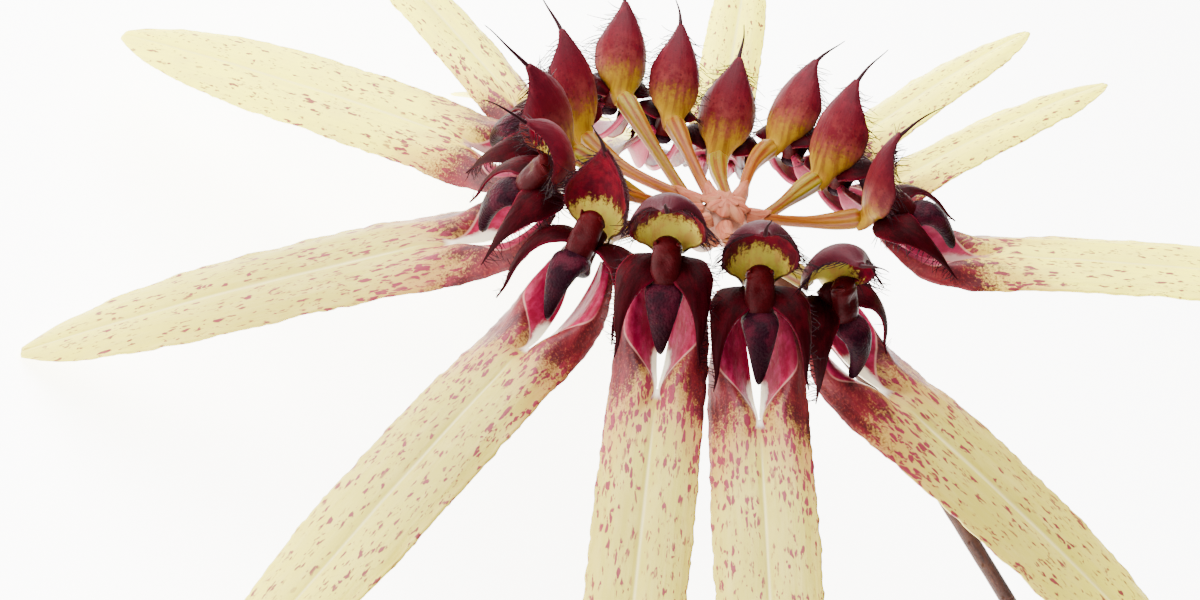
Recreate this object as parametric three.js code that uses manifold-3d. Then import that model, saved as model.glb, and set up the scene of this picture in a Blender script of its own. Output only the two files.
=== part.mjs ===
// A cut inflorescence of a Cirrhopetalum-type Bulbophyllum orchid, in millimetres, +Z up.
//
// Thirteen flowers stand in a ring on thin pedicels round the head of one stalk, an umbel.
// Each flower has a pedicel with its ovary, a hooded dorsal sepal that ends in a long bristle,
// a centre (column, column foot, lip and two petals grown together) and two lateral sepals
// that fold in from both sides, leave a slit, and join into one long strap.
// The umbel is modelled round its own axis and then laid down on a flat surface, where it
// rests on the cut end of the stalk and on the tips of two straps.

import * as THREE from 'three';
import Module from 'manifold-3d';
import { mergeVertices } from 'three/addons/utils/BufferGeometryUtils.js';

const wasm = await Module();
wasm.setup();

// ---- driving dimensions -------------------------------------------------------------------

const STRAP_LENGTH = 47;       // lateral sepals, from the ovary to the tip along the fold
const BLADE = 0.7;             // thickness of sepals and petals
const SLIT_LENGTH = 9.5;       // open stretch between the two lateral sepals
const FOLD_LENGTH = 8;         // where the strap has swung from its steep start to its droop
const START_SLOPE = 58;        // degrees below level where the lateral sepals leave the flower
const STRAP_ARCH = 8;          // degrees that the strap bends down from there to its tip

const HOOD_LENGTH = 8.6;       // dorsal sepal without its bristle
const BRISTLE_LENGTH = 4.8;    // bristle at the tip of the dorsal sepal
const HOOD_HALF_WIDTH = 2.75;
const BRISTLE_HALF_WIDTH = 0.32;
const HOOD_RISE = [80, 36, 20];  // degrees above level at the base, the tip and the bristle's end

const OVARY_RADIUS = 1.05;
const PEDICEL_RADIUS = 0.6;
const OVARY_GAP = 0.3;         // from the ovary's end to the pieces that sit on it
const CENTRE_TWIST = 0.4;      // share of the hood's twist that the centre follows

const HEAD_RADIUS = 2.1;       // knob that carries the pedicels
const HEAD_HEIGHT = 4.2;
const ROOT_REACH = 2.35;       // distance of a pedicel's root from the umbel's axis
const ROOT_RISE = 0.85;        // roots alternate this far above and below the knob's middle

const STALK_LENGTH = 92;
const STALK_RADIUS = [0.85, 0.75, 1.0];  // below the head, at mid-length, at the cut end
const STALK_BEND = [54, 36];   // degrees from the umbel's axis under the head and further down
const STALK_BEND_LENGTH = 30;
const STALK_LEAN = -6;

// The three pieces that touch the surface, and roughly which way is up then in the umbel's axes.
const SUPPORTS = ['peduncle', 'flower_10_lateral_sepals', 'flower_13_lateral_sepals'];
const REST_UP = [0.08, 0.45, 0.89];
const LEVELLING_ROUNDS = 6;

const BRACT_REACH = [0.8, 3.9];  // inner edge and tips of the whorl of floral bracts
const BRACT_RISE = [2.75, 3.5];
const BRACT_COUNT = 7;

// The flowers, counted round the umbel from the one at the front left. Angles in degrees.
// azimuth, reach and rise place the end of the ovary; root is the azimuth of the pedicel's root;
// heading, pitch (nose down) and roll turn the flower; droop is the strap's slope in the flower;
// lift opens the hood, nod bends its tip over; twist turns the hood, and in part the centre, to
// a side; strap and breadth scale the strap's length and breadth, hood the hood's width; petals
// turn the two petals sideways.
const FLOWERS = [
  { azimuth: -44, reach: 13.4, rise: 3, root: -40, heading: -21, pitch: -12, roll: 2,
    droop: 15, lift: 12, strap: 1.05, breadth: 1, hood: 1, petals: [13, 6], nod: 6 },
  { azimuth: -14, reach: 14.6, rise: 6.8, root: -18, heading: 4, pitch: 6, roll: 7,
    droop: 15, lift: 16, strap: 1, breadth: 0.95, hood: 1.05, petals: [-8, -5], nod: 40 },
  { azimuth: 15, reach: 13.8, rise: 4.8, root: 10, heading: 10, pitch: -2, roll: 7,
    droop: 16, lift: 16, strap: 1, breadth: 1, hood: 1.05, petals: [-2, -5], nod: 40 },
  { azimuth: 41, reach: 12.8, rise: 2.9, root: 39, heading: 73, pitch: 11, roll: 8,
    droop: 15, lift: 14, strap: 1, breadth: 1.2, hood: 1.05, petals: [5, 2], nod: 34,
    twist: -46 },
  { azimuth: 114, reach: 13.3, rise: -0.1, root: 100, heading: 94, pitch: -25, roll: 2,
    droop: 16, lift: -3, strap: 1, breadth: 0.95, hood: 0.95, petals: [-1, 1] },
  { azimuth: 137, reach: 11, rise: 1.1, root: 129, heading: 147, pitch: -4, roll: -16,
    droop: 4, lift: -14, strap: 1, breadth: 0.8, hood: 0.95, petals: [-10, -7] },
  { azimuth: 166, reach: 13.1, rise: 0.3, root: 161, heading: 149, pitch: 2, roll: -18,
    droop: -6, lift: -23, strap: 0.95, breadth: 0.8, hood: 0.85, petals: [-6, -7] },
  { azimuth: -173, reach: 12.7, rise: -1.9, root: 172, heading: 182, pitch: 3, roll: 2,
    droop: -8, lift: -15, strap: 1, breadth: 0.75, hood: 0.9, petals: [-8, -8] },
  { azimuth: -151, reach: 12.5, rise: 1.6, root: -147, heading: -163, pitch: 16, roll: 8,
    droop: 9, lift: -9, strap: 1, breadth: 0.8, hood: 0.8, petals: [-21, -22] },
  { azimuth: -138, reach: 16.2, rise: 2.4, root: -132, heading: -156, pitch: 10, roll: 13,
    droop: 17, lift: -17, strap: 1, breadth: 0.75, hood: 0.85, petals: [21, -7] },
  { azimuth: -114, reach: 14.5, rise: 2, root: -111, heading: -138, pitch: -12, roll: 2,
    droop: 7, lift: -23, strap: 1, breadth: 0.75, hood: 0.85, petals: [-15, -11] },
  { azimuth: -91, reach: 13.9, rise: 3.9, root: -90, heading: -105, pitch: -10, roll: -17,
    droop: 15, lift: -5, strap: 1, breadth: 1.05, hood: 1, petals: [-4, -11] },
  { azimuth: -65, reach: 14.1, rise: 4.8, root: -76, heading: -75, pitch: 0, roll: -6,
    droop: 20, lift: 6, strap: 1, breadth: 1.1, hood: 1.05, petals: [-4, -3], nod: 24,
    twist: 15 },
];

// ---- colours ------------------------------------------------------------------------------

const material = (color, roughness) => new THREE.MeshStandardMaterial({ color, roughness, metalness: 0 });
const STALK_COLOUR = material(0x6b4a33, 0.6);
const BRACT_COLOUR = material(0xd9a79a, 0.6);
const PEDICEL_COLOUR = material(0xb98a35, 0.5);
const HOOD_COLOUR = material(0x8c1f42, 0.45);
const CENTRE_COLOUR = material(0x4a0614, 0.4);
const STRAP_COLOUR = material(0xeadfb4, 0.5);

// ---- general shapes -----------------------------------------------------------------------

const radians = THREE.MathUtils.degToRad;
const point = (x, y, z) => new THREE.Vector3(x, y, z);

// Value at s on a line through [s, value] stations.
function along(s, stations) {
  const last = stations.length - 1;
  if (s <= stations[0][0]) return stations[0][1];
  for (let i = 0; i < last; i += 1) {
    const [s0, v0] = stations[i];
    const [s1, v1] = stations[i + 1];
    if (s <= s1) return v0 + ((v1 - v0) * (s - s0)) / (s1 - s0);
  }
  return stations[last][1];
}

// A closed geometry from points and triangles, turned so that its faces point out.
function closedGeometry(points, triangles) {
  let volume = 0;
  for (const [a, b, c] of triangles) {
    volume += points[a].dot(point(0, 0, 0).crossVectors(points[b], points[c]));
  }
  const index = triangles.flatMap(([a, b, c]) => (volume < 0 ? [a, c, b] : [a, b, c]));
  const geometry = new THREE.BufferGeometry();
  geometry.setAttribute('position', new THREE.Float32BufferAttribute(points.flatMap((p) => p.toArray()), 3));
  geometry.setIndex(index);
  return geometry;
}

// A skin over a row of rings with equal numbers of points, closed at both ends.
function skin(rings) {
  const count = rings[0].length;
  const points = rings.flat();
  const triangles = [];
  for (let i = 0; i + 1 < rings.length; i += 1) {
    for (let j = 0; j < count; j += 1) {
      const a = i * count + j;
      const b = i * count + ((j + 1) % count);
      triangles.push([a, b, b + count], [a, b + count, a + count]);
    }
  }
  for (const [start, ring, turned] of [[0, rings[0], true], [points.length - count, rings.at(-1), false]]) {
    const centre = points.length;
    points.push(ring.reduce((sum, p) => sum.add(p), point(0, 0, 0)).divideScalar(count));
    for (let j = 0; j < count; j += 1) {
      const a = start + j;
      const b = start + ((j + 1) % count);
      triangles.push(turned ? [b, a, centre] : [a, b, centre]);
    }
  }
  return closedGeometry(points, triangles);
}

// A blade of even thickness on a grid of points; a cell that isn't kept leaves an opening.
function blade(grid, thickness, kept = () => true) {
  const rows = grid.length;
  const columns = grid[0].length;
  const at = (i, j) => grid[Math.min(Math.max(i, 0), rows - 1)][Math.min(Math.max(j, 0), columns - 1)];
  const points = [];
  for (const side of [0.5, -0.5]) {
    for (let i = 0; i < rows; i += 1) {
      for (let j = 0; j < columns; j += 1) {
        const lengthways = at(i + 1, j).clone().sub(at(i - 1, j));
        const across = at(i, j + 1).clone().sub(at(i, j - 1));
        const normal = lengthways.cross(across).normalize();
        points.push(grid[i][j].clone().addScaledVector(normal, side * thickness));
      }
    }
  }
  const under = rows * columns;
  const cell = (i, j) => i >= 0 && j >= 0 && i < rows - 1 && j < columns - 1 && kept(i, j);
  const triangles = [];
  const wall = (a, b) => triangles.push([a, b, b + under], [a, b + under, a + under]);
  for (let i = 0; i < rows - 1; i += 1) {
    for (let j = 0; j < columns - 1; j += 1) {
      if (!cell(i, j)) continue;
      const a = i * columns + j;
      const [b, c, d] = [a + 1, a + columns + 1, a + columns];
      triangles.push([a, c, b], [a, d, c]);
      triangles.push([a + under, b + under, c + under], [a + under, c + under, d + under]);
      if (!cell(i - 1, j)) wall(a, b);
      if (!cell(i, j + 1)) wall(b, c);
      if (!cell(i + 1, j)) wall(c, d);
      if (!cell(i, j - 1)) wall(d, a);
    }
  }
  return withoutLoosePoints(closedGeometry(points, triangles));
}

function withoutLoosePoints(geometry) {
  const source = geometry.getAttribute('position');
  const used = [...new Set(geometry.getIndex().array)];
  const place = new Map(used.map((old, next) => [old, next]));
  const trimmed = new THREE.BufferGeometry();
  const values = used.flatMap((i) => [source.getX(i), source.getY(i), source.getZ(i)]);
  trimmed.setAttribute('position', new THREE.Float32BufferAttribute(values, 3));
  trimmed.setIndex([...geometry.getIndex().array].map((i) => place.get(i)));
  return trimmed;
}

// Several closed geometries grown together into one.
function fused(geometries) {
  const solids = geometries.map((geometry) => {
    const merged = mergeVertices(geometry);
    return new wasm.Manifold(new wasm.Mesh({
      numProp: 3,
      vertProperties: merged.getAttribute('position').array,
      triVerts: new Uint32Array(merged.getIndex().array),
    }));
  });
  const mesh = solids.reduce((whole, solid) => whole.add(solid)).getMesh();
  const geometry = new THREE.BufferGeometry();
  geometry.setAttribute('position', new THREE.Float32BufferAttribute(mesh.vertProperties, 3));
  geometry.setIndex([...mesh.triVerts]);
  return geometry;
}

// Points and slopes along a fold line in the X-Z plane, one at each distance in the list.
function foldLine(start, distances, slopeAt) {
  const step = 0.25;
  const line = [];
  let place = start.clone();
  let travelled = 0;
  for (const distance of distances) {
    while (travelled < distance) {
      const length = Math.min(step, distance - travelled);
      const slope = radians(slopeAt(travelled + length / 2));
      place = place.clone().add(point(length * Math.cos(slope), 0, length * Math.sin(slope)));
      travelled += length;
    }
    const slope = radians(slopeAt(distance));
    line.push({
      distance,
      place: place.clone(),
      forward: point(Math.cos(slope), 0, Math.sin(slope)),
      up: point(-Math.sin(slope), 0, Math.cos(slope)),
    });
  }
  return line;
}

const evenSteps = (from, to, count) =>
  Array.from({ length: count + 1 }, (_, i) => from + ((to - from) * i) / count);

// An oval rod along a curve; sizes holds [width, depth] stations from 0 to 1, width along `side`.
function rod(curve, sides, steps, sizes, side) {
  const rings = evenSteps(0, 1, steps).map((t) => {
    const forward = curve.getTangent(t);
    const across = side.clone().addScaledVector(forward, -side.dot(forward)).normalize();
    const deep = forward.clone().cross(across);
    const width = along(t, sizes.map(([s, w]) => [s, w]));
    const depth = along(t, sizes.map(([s, , d]) => [s, d]));
    return evenSteps(0, 2 * Math.PI, sides).slice(0, sides).map((turn) => (
      curve.getPoint(t)
        .addScaledVector(across, width * Math.cos(turn))
        .addScaledVector(deep, depth * Math.sin(turn))
    ));
  });
  return skin(rings);
}

// ---- the pieces of one flower -------------------------------------------------------------
// In a flower's own axes the ovary ends at the origin, +X is the flower's heading, +Z its back.

function dorsalSepal({ lift, hood, nod = 0, twist = 0 }) {
  const bodySteps = evenSteps(0, HOOD_LENGTH, 8);
  const bristleSteps = evenSteps(HOOD_LENGTH, HOOD_LENGTH + BRISTLE_LENGTH, 3).slice(1);
  const upright = along(0.45, [[0, HOOD_RISE[0]], [1, HOOD_RISE[1]]]);
  const slopes = [[0, HOOD_RISE[0] + lift], [0.45 * HOOD_LENGTH, upright + lift],
    [HOOD_LENGTH, HOOD_RISE[1] + lift - nod],
    [HOOD_LENGTH + BRISTLE_LENGTH, HOOD_RISE[2] + lift + nod]];
  const halfWidths = [[0, 0.3], [0.12, 0.55], [0.35, 0.97], [0.5, 1], [0.7, 0.72], [0.87, 0.34], [1, 0]];
  const curls = [[0, 62], [0.4, 76], [0.75, 60], [1, 20]];
  const line = foldLine(point(-0.15, 0, OVARY_RADIUS + OVARY_GAP + 0.1), [...bodySteps, ...bristleSteps],
    (s) => along(s, slopes));
  const rings = line.map(({ distance, place, up }) => {
    const t = Math.min(distance / HOOD_LENGTH, 1);
    const grown = along(t, halfWidths) * (HOOD_HALF_WIDTH * hood - BRISTLE_HALF_WIDTH);
    const halfWidth = BRISTLE_HALF_WIDTH + grown;
    const curl = radians(along(t, curls));
    const half = BLADE / 2;
    const arc = (turn, offset) => {
      const radius = halfWidth / Math.sin(curl);
      const sideways = (radius + offset) * Math.sin(turn);
      const inward = radius - (radius + offset) * Math.cos(turn);
      return place.clone().add(point(0, sideways, 0)).addScaledVector(up, -inward);
    };
    const turns = evenSteps(-curl, curl, 4);
    return [...turns.map((turn) => arc(turn, half)), ...turns.reverse().map((turn) => arc(turn, -half))];
  });
  return skin(rings).rotateZ(radians(twist));
}

function column() {
  const curve = new THREE.CatmullRomCurve3([point(0.35, 0, 0), point(1.3, 0, 0.25), point(2.3, 0, 0.8),
    point(3.2, 0, 1.4)]);
  const sizes = [[0, 0.95, 0.85], [0.35, 1.25, 1.0], [0.75, 1.3, 1.0], [1, 0.75, 0.6]];
  return rod(curve, 8, 3, sizes, point(0, 1, 0));
}

function columnFoot() {
  const curve = new THREE.LineCurve3(point(0.75, 0, -0.3), point(1.75, 0, -2.75));
  return rod(curve, 6, 1, [[0, 0.75, 0.5], [1, 0.55, 0.42]], point(0, 1, 0));
}

function lip() {
  const curve = new THREE.CatmullRomCurve3([point(1.55, 0, -2.6), point(2.5, 0, -1.9), point(3.6, 0, -0.85),
    point(4.9, 0, -0.65), point(5.8, 0, -1.5), point(6.2, 0, -2.9), point(6.1, 0, -4.3)]);
  const sizes = [[0, 0.5, 0.4], [0.25, 0.85, 0.55], [0.5, 1.35, 0.75], [0.75, 1.2, 0.7], [1, 0.45, 0.4]];
  return rod(curve, 6, 6, sizes, point(0, 1, 0));
}

// side is 1 for the left petal and -1 for the right one; spread turns it outward.
function petal(side, spread) {
  const places = [point(0.9, 0.85, 0.2), point(2.1, 2.0, 0.8), point(3.4, 2.9, 0.4), point(4.6, 3.45, -0.9),
    point(5.5, 3.75, -2.6), point(6.2, 3.85, -4.3)];
  const turn = new THREE.Matrix4().makeRotationZ(radians(side * spread));
  const curve = new THREE.CatmullRomCurve3(places.map((p) => point(p.x, side * p.y, p.z).applyMatrix4(turn)));
  const face = point(0.5, 0.5 * side, 0.7).applyMatrix4(turn);
  const halfWidths = [[0, 0.8], [0.2, 1.5], [0.4, 1.6], [0.65, 1.1], [0.85, 0.6], [1, 0.32]];
  const rings = evenSteps(0, 1, 5).map((t) => {
    const across = curve.getTangent(t).cross(face).normalize();
    const normal = across.clone().cross(curve.getTangent(t)).normalize();
    const half = along(t, halfWidths);
    const thick = BLADE / 2;
    const corners = [[-1, 0], [-0.6, 1], [0.6, 1], [1, 0], [0.6, -1], [-0.6, -1]];
    return corners.map(([w, n]) => (
      curve.getPoint(t).addScaledVector(across, w * half).addScaledVector(normal, n * thick)
    ));
  });
  return skin(rings);
}

function centre({ petals, twist = 0 }) {
  const parts = [column(), columnFoot(), lip(), petal(1, petals[0]), petal(-1, petals[1])];
  return fused(parts).rotateZ(radians(CENTRE_TWIST * twist));
}

// Offsets [distance, sideways, up] of the slit's edge, the fold's ridge and the outer margin.
const SLIT_EDGE = [[0, 1.2, -0.2], [2, 1.1, -0.9], [4.5, 0.9, -1.6], [7, 0.65, -1.4], [9.5, 0.35, -0.7],
  [12.5, 1.0, 0.1], [17, 1.3, 0.05]];
const RIDGE = [[0, 1.7, 0.35], [2, 2.3, 0.5], [4.5, 2.8, 0.6], [7, 2.7, 0.6], [9.5, 2.1, 0.45],
  [12.5, 2.4, 0.1], [17, 2.65, -0.1]];
const MARGIN = [[0, 2.2, 0], [2, 3.0, -0.2], [4.5, 3.6, -0.7], [7, 3.8, -0.9], [9.5, 3.85, -1.0],
  [12.5, 3.85, -0.85], [17, 3.95, -0.55], [32, 3.85, -0.4], [47, 3.85, -0.3]];
const TAPER = [[0, 1], [0.62, 1], [0.78, 0.86], [0.88, 0.66], [0.95, 0.42], [1, 0.18]];
const MIDLINE = [[0, -0.7], [9.5, -0.7], [12.5, -0.05], [17, -0.05]];

function lateralSepals({ droop, strap, breadth }) {
  const slitRows = [0, 2, 4.5, 7, SLIT_LENGTH];
  const strapRows = evenSteps(SLIT_LENGTH, strap * STRAP_LENGTH, 9).slice(1);
  const slopes = [[0, -START_SLOPE], [FOLD_LENGTH, -droop], [strap * STRAP_LENGTH, -droop - STRAP_ARCH]];
  const line = foldLine(point(0.9, 0, -OVARY_RADIUS - OVARY_GAP), [...slitRows, ...strapRows],
    (s) => along(s, slopes));
  const grid = line.map(({ distance, place, up }) => {
    const width = along(distance / (strap * STRAP_LENGTH), TAPER) * breadth;
    const flat = Math.min(1, width);
    const offset = (stations, side) => {
      const spread = stations === SLIT_EDGE ? Math.max(width, flat / Math.min(1, breadth)) : width;
      const sideways = along(distance, stations.map(([s, y]) => [s, y])) * spread * side;
      const high = along(distance, stations.map(([s, , z]) => [s, z])) * flat;
      return place.clone().add(point(0, sideways, 0)).addScaledVector(up, high);
    };
    const middle = place.clone().addScaledVector(up, along(distance, MIDLINE) * flat);
    return [offset(MARGIN, 1), offset(RIDGE, 1), offset(SLIT_EDGE, 1), middle,
      offset(SLIT_EDGE, -1), offset(RIDGE, -1), offset(MARGIN, -1)];
  });
  const slitCells = slitRows.length - 1;
  return blade(grid, BLADE, (i, j) => i >= slitCells || j < 2 || j > 3);
}

// ---- what carries the flowers -------------------------------------------------------------

// Turns a flower's own axes into the umbel's, at the end of its ovary.
function flowerPlace({ azimuth, reach, rise, heading, pitch, roll }) {
  const turn = new THREE.Matrix4().makeRotationZ(radians(heading));
  turn.multiply(new THREE.Matrix4().makeRotationY(radians(pitch)));
  turn.multiply(new THREE.Matrix4().makeRotationX(radians(roll)));
  const angle = radians(azimuth);
  return turn.setPosition(reach * Math.cos(angle), reach * Math.sin(angle), rise);
}

function pedicel(flower, index) {
  const place = flowerPlace(flower);
  const end = point(-OVARY_GAP, 0, 0).applyMatrix4(place);
  const behind = point(-OVARY_GAP - 4.5, 0, 0).applyMatrix4(place);
  const angle = radians(flower.root);
  const rise = index % 2 === 0 ? ROOT_RISE : -ROOT_RISE;
  const root = point(ROOT_REACH * Math.cos(angle), ROOT_REACH * Math.sin(angle), rise);
  const outward = root.clone().multiply(point(2.1, 2.1, 1));
  const curve = new THREE.CubicBezierCurve3(root, outward, behind, end);
  const sizes = [[0, 0.95], [0.2, 1], [0.55, 1.15], [0.85, 1.7], [1, 1.6]]
    .map(([t, scale]) => [t, scale * PEDICEL_RADIUS, scale * PEDICEL_RADIUS]);
  return rod(curve, 7, 6, sizes, point(0, 0, 1));
}

function peduncle() {
  const head = new THREE.SphereGeometry(HEAD_RADIUS, 14, 8);
  head.deleteAttribute('normal');
  head.deleteAttribute('uv');
  head.scale(1, 1, HEAD_HEIGHT / (2 * HEAD_RADIUS));
  head.rotateX(Math.PI / 2);
  const steps = 20;
  const places = [point(0, 0, -0.6)];
  const length = STALK_LENGTH / steps;
  for (let i = 0; i < steps; i += 1) {
    const part = Math.min(1, ((i + 0.5) * length) / STALK_BEND_LENGTH);
    const bend = radians(STALK_BEND[0] + (STALK_BEND[1] - STALK_BEND[0]) * part);
    const lean = radians(STALK_LEAN);
    const step = point(Math.sin(lean) * Math.cos(bend), Math.sin(bend), -Math.cos(lean) * Math.cos(bend));
    places.push(places.at(-1).clone().addScaledVector(step, length));
  }
  const [top, middle, end] = STALK_RADIUS;
  const sizes = [[0, top, top], [0.5, middle, middle], [1, end, end]];
  return fused([head, rod(new THREE.CatmullRomCurve3(places), 8, steps, sizes, point(1, 0, 0))]);
}

// A whorl of small pointed bracts on top of the head, over the roots of the pedicels.
function floralBracts() {
  const [inner, tips] = BRACT_REACH;
  const valleys = inner + 0.45 * (tips - inner);
  const sections = evenSteps(0, 2 * Math.PI, 2 * BRACT_COUNT).slice(0, -1).map((angle, i) => {
    const outer = i % 2 === 0 ? tips : valleys;
    const rise = along(outer, [[inner, BRACT_RISE[0]], [tips, BRACT_RISE[1]]]);
    return [[inner, BRACT_RISE[0] - BLADE / 2], [outer, rise - BLADE / 2], [outer, rise + BLADE / 2],
      [inner, BRACT_RISE[0] + BLADE / 2]]
      .map(([reach, high]) => point(reach * Math.cos(angle), reach * Math.sin(angle), high));
  });
  const count = sections[0].length;
  const triangles = [];
  sections.forEach((_, i) => {
    const next = (i + 1) % sections.length;
    for (let k = 0; k < count; k += 1) {
      const [a, b] = [i * count + k, i * count + ((k + 1) % count)];
      const [c, d] = [next * count + ((k + 1) % count), next * count + k];
      triangles.push([a, b, c], [a, c, d]);
    }
  });
  return closedGeometry(sections.flat(), triangles);
}

// ---- the umbel ----------------------------------------------------------------------------

function piece(name, geometry, colour) {
  const mesh = new THREE.Mesh(geometry, colour);
  mesh.name = name;
  return mesh;
}

function umbel() {
  const group = new THREE.Group();
  group.add(piece('peduncle', peduncle(), STALK_COLOUR));
  group.add(piece('floral_bracts', floralBracts(), BRACT_COLOUR));
  FLOWERS.forEach((flower, index) => {
    const label = `flower_${String(index + 1).padStart(2, '0')}`;
    group.add(piece(`${label}_pedicel`, pedicel(flower, index), PEDICEL_COLOUR));
    const own = new THREE.Group();
    own.applyMatrix4(flowerPlace(flower));
    own.add(piece(`${label}_dorsal_sepal`, dorsalSepal(flower), HOOD_COLOUR));
    own.add(piece(`${label}_centre`, centre(flower), CENTRE_COLOUR));
    own.add(piece(`${label}_lateral_sepals`, lateralSepals(flower), STRAP_COLOUR));
    group.add(own);
  });
  return group;
}

// ---- laying it down -----------------------------------------------------------------------

function lowestPoint(mesh) {
  const places = mesh.geometry.getAttribute('position');
  const each = evenSteps(0, places.count - 1, places.count - 1)
    .map((i) => point(0, 0, 0).fromBufferAttribute(places, i).applyMatrix4(mesh.matrixWorld));
  return each.reduce((low, place) => (place.z < low.z ? place : low));
}

function turned(group, from, to) {
  group.quaternion.premultiply(new THREE.Quaternion().setFromUnitVectors(from, to));
  group.updateMatrixWorld(true);
}

// Turns the umbel until its three supports touch one level plane, faces its front flowers to -Y,
// and moves the middle of its bounding box's underside to the origin.
function laidDown(group) {
  const up = point(0, 0, 1);
  turned(group, point(...REST_UP).normalize(), up);
  for (let round = 0; round < LEVELLING_ROUNDS; round += 1) {
    const supports = SUPPORTS.map((name) => lowestPoint(group.getObjectByName(name)));
    const { normal } = new THREE.Plane().setFromCoplanarPoints(...supports);
    turned(group, normal.z < 0 ? normal.negate() : normal, up);
  }
  const front = point(1, 0, 0).transformDirection(group.matrixWorld).setZ(0).normalize();
  turned(group, front, point(0, -1, 0));
  const box = new THREE.Box3().setFromObject(group, true);
  const middle = box.getCenter(point(0, 0, 0));
  group.position.set(-middle.x, -middle.y, -box.min.z);
  group.updateMatrixWorld(true);
  return group;
}

export default laidDown(umbel());
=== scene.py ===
"""Umbel of a Cirrhopetalum-type orchid: thirteen flowers round the head of one stalk, laid down flat.

Lengths inside the makers are in millimetres, in the flower's or the umbel's own axes. A flower's
axes start at the end of its ovary, with +X the way it faces and +Z up towards its hood.
"""

import random
from math import ceil, copysign, cos, exp, radians, sin, sqrt, tau

import bmesh
import bpy
from bpy.props import FloatProperty, FloatVectorProperty, IntProperty, PointerProperty
from mathutils import Matrix, Vector, noise


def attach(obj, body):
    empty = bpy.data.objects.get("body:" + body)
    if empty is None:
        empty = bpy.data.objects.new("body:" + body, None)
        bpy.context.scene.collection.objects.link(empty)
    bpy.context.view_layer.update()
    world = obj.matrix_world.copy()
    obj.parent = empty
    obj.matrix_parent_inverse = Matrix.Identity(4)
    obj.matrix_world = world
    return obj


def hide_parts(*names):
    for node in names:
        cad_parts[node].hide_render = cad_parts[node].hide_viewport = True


bl_info = {
    "name": "Orchid umbel",
    "version": (1, 0, 0),
    "blender": (4, 5, 0),
    "location": "3D Viewport > Sidebar > Orchid umbel",
    "description": "Builds the visible pieces of a cut orchid umbel over its CAD frame",
    "category": "Object",
}

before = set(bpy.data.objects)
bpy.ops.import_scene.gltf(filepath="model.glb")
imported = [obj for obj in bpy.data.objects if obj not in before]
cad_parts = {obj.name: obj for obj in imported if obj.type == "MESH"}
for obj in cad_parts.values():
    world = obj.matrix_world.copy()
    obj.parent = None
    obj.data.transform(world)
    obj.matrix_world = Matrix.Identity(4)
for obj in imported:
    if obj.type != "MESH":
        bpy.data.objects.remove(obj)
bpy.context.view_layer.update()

MM = 0.001

# ---- how the umbel lies, and its flowers ----------------------------------------------------

# The umbel's own axes in the row frame: its front, its left and its axis, and its head's place.
UMBEL_FRONT = (0.0, -0.997691, 0.067921)
UMBEL_LEFT = (0.892492, 0.030637, 0.450021)
UMBEL_AXIS = (-0.451063, 0.060619, 0.890431)
UMBEL_PLACE = (-17.6505, -0.6401, 39.1720)

# azimuth, reach and rise place the end of the ovary; root is the azimuth of the pedicel's root;
# heading, pitch (nose down) and roll turn the flower; droop is the strap's slope in the flower;
# lift opens the hood; strap and breadth scale the strap, hood the hood's width; petals turn the
# two petals sideways; nod bends the hood's tip over; twist turns the hood to a side.
FLOWER_KEYS = ("azimuth", "reach", "rise", "root", "heading", "pitch", "roll",
               "droop", "lift", "strap", "breadth", "hood", "petals", "nod", "twist")
FLOWER_ROWS = (
    (-44, 13.4, 3.0, -40, -21, -12, 2, 15, 12, 1.05, 1.0, 1.0, (13, 6), 6, 0),
    (-14, 14.6, 6.8, -18, 4, 6, 7, 15, 16, 1.0, 0.95, 1.05, (-8, -5), 40, 0),
    (15, 13.8, 4.8, 10, 10, -2, 7, 16, 16, 1.0, 1.0, 1.05, (-2, -5), 40, 0),
    (41, 12.8, 2.9, 39, 73, 11, 8, 15, 14, 1.0, 1.2, 1.05, (5, 2), 34, -46),
    (114, 13.3, -0.1, 100, 94, -25, 2, 16, -3, 1.0, 0.95, 0.95, (-1, 1), 0, 0),
    (137, 11.0, 1.1, 129, 147, -4, -16, 4, -14, 1.0, 0.8, 0.95, (-10, -7), 0, 0),
    (166, 13.1, 0.3, 161, 149, 2, -18, -6, -23, 0.95, 0.8, 0.85, (-6, -7), 0, 0),
    (-173, 12.7, -1.9, 172, 182, 3, 2, -8, -15, 1.0, 0.75, 0.9, (-8, -8), 0, 0),
    (-151, 12.5, 1.6, -147, -163, 16, 8, 9, -9, 1.0, 0.8, 0.8, (-21, -22), 0, 0),
    (-138, 16.2, 2.4, -132, -156, 10, 13, 17, -17, 1.0, 0.75, 0.85, (21, -7), 0, 0),
    (-114, 14.5, 2.0, -111, -138, -12, 2, 7, -23, 1.0, 0.75, 0.85, (-15, -11), 0, 0),
    (-91, 13.9, 3.9, -90, -105, -10, -17, 15, -5, 1.0, 1.05, 1.0, (-4, -11), 0, 0),
    (-65, 14.1, 4.8, -76, -75, 0, -6, 20, 6, 1.0, 1.1, 1.05, (-4, -3), 24, 15),
)
FLOWERS = [dict(zip(FLOWER_KEYS, row)) for row in FLOWER_ROWS]

# The camera looks at the head along a line in the umbel's axes.
VIEW_RIGHT = (-0.1222, 0.9781, 0.1682)
VIEW_UP = (-0.5749, -0.2079, 0.7913)
VIEW_BACK = (0.8090, 0.0, 0.5878)
VIEW_DISTANCE = 180.0
VIEW_LENS = 64.5
VIEW_SHIFT = (-0.1017, -0.065)

# (name, place in the umbel's axes, power, edge in metres)
LIGHTS = (("overhead", (-110, -60, 300), 7.6, 0.4), ("front", (200, -120, 190), 1.2, 0.3))


def add_object(name, data):
    """An object in the scene."""
    made = bpy.data.objects.new(name, data)
    bpy.context.scene.collection.objects.link(made)
    return made


def linear(code):
    """Linear colour of a #rrggbb code."""
    parts = [int(code[i:i + 2], 16) / 255 for i in (1, 3, 5)]
    return tuple(c / 12.92 if c <= 0.04045 else ((c + 0.055) / 1.055) ** 2.4 for c in parts)


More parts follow.
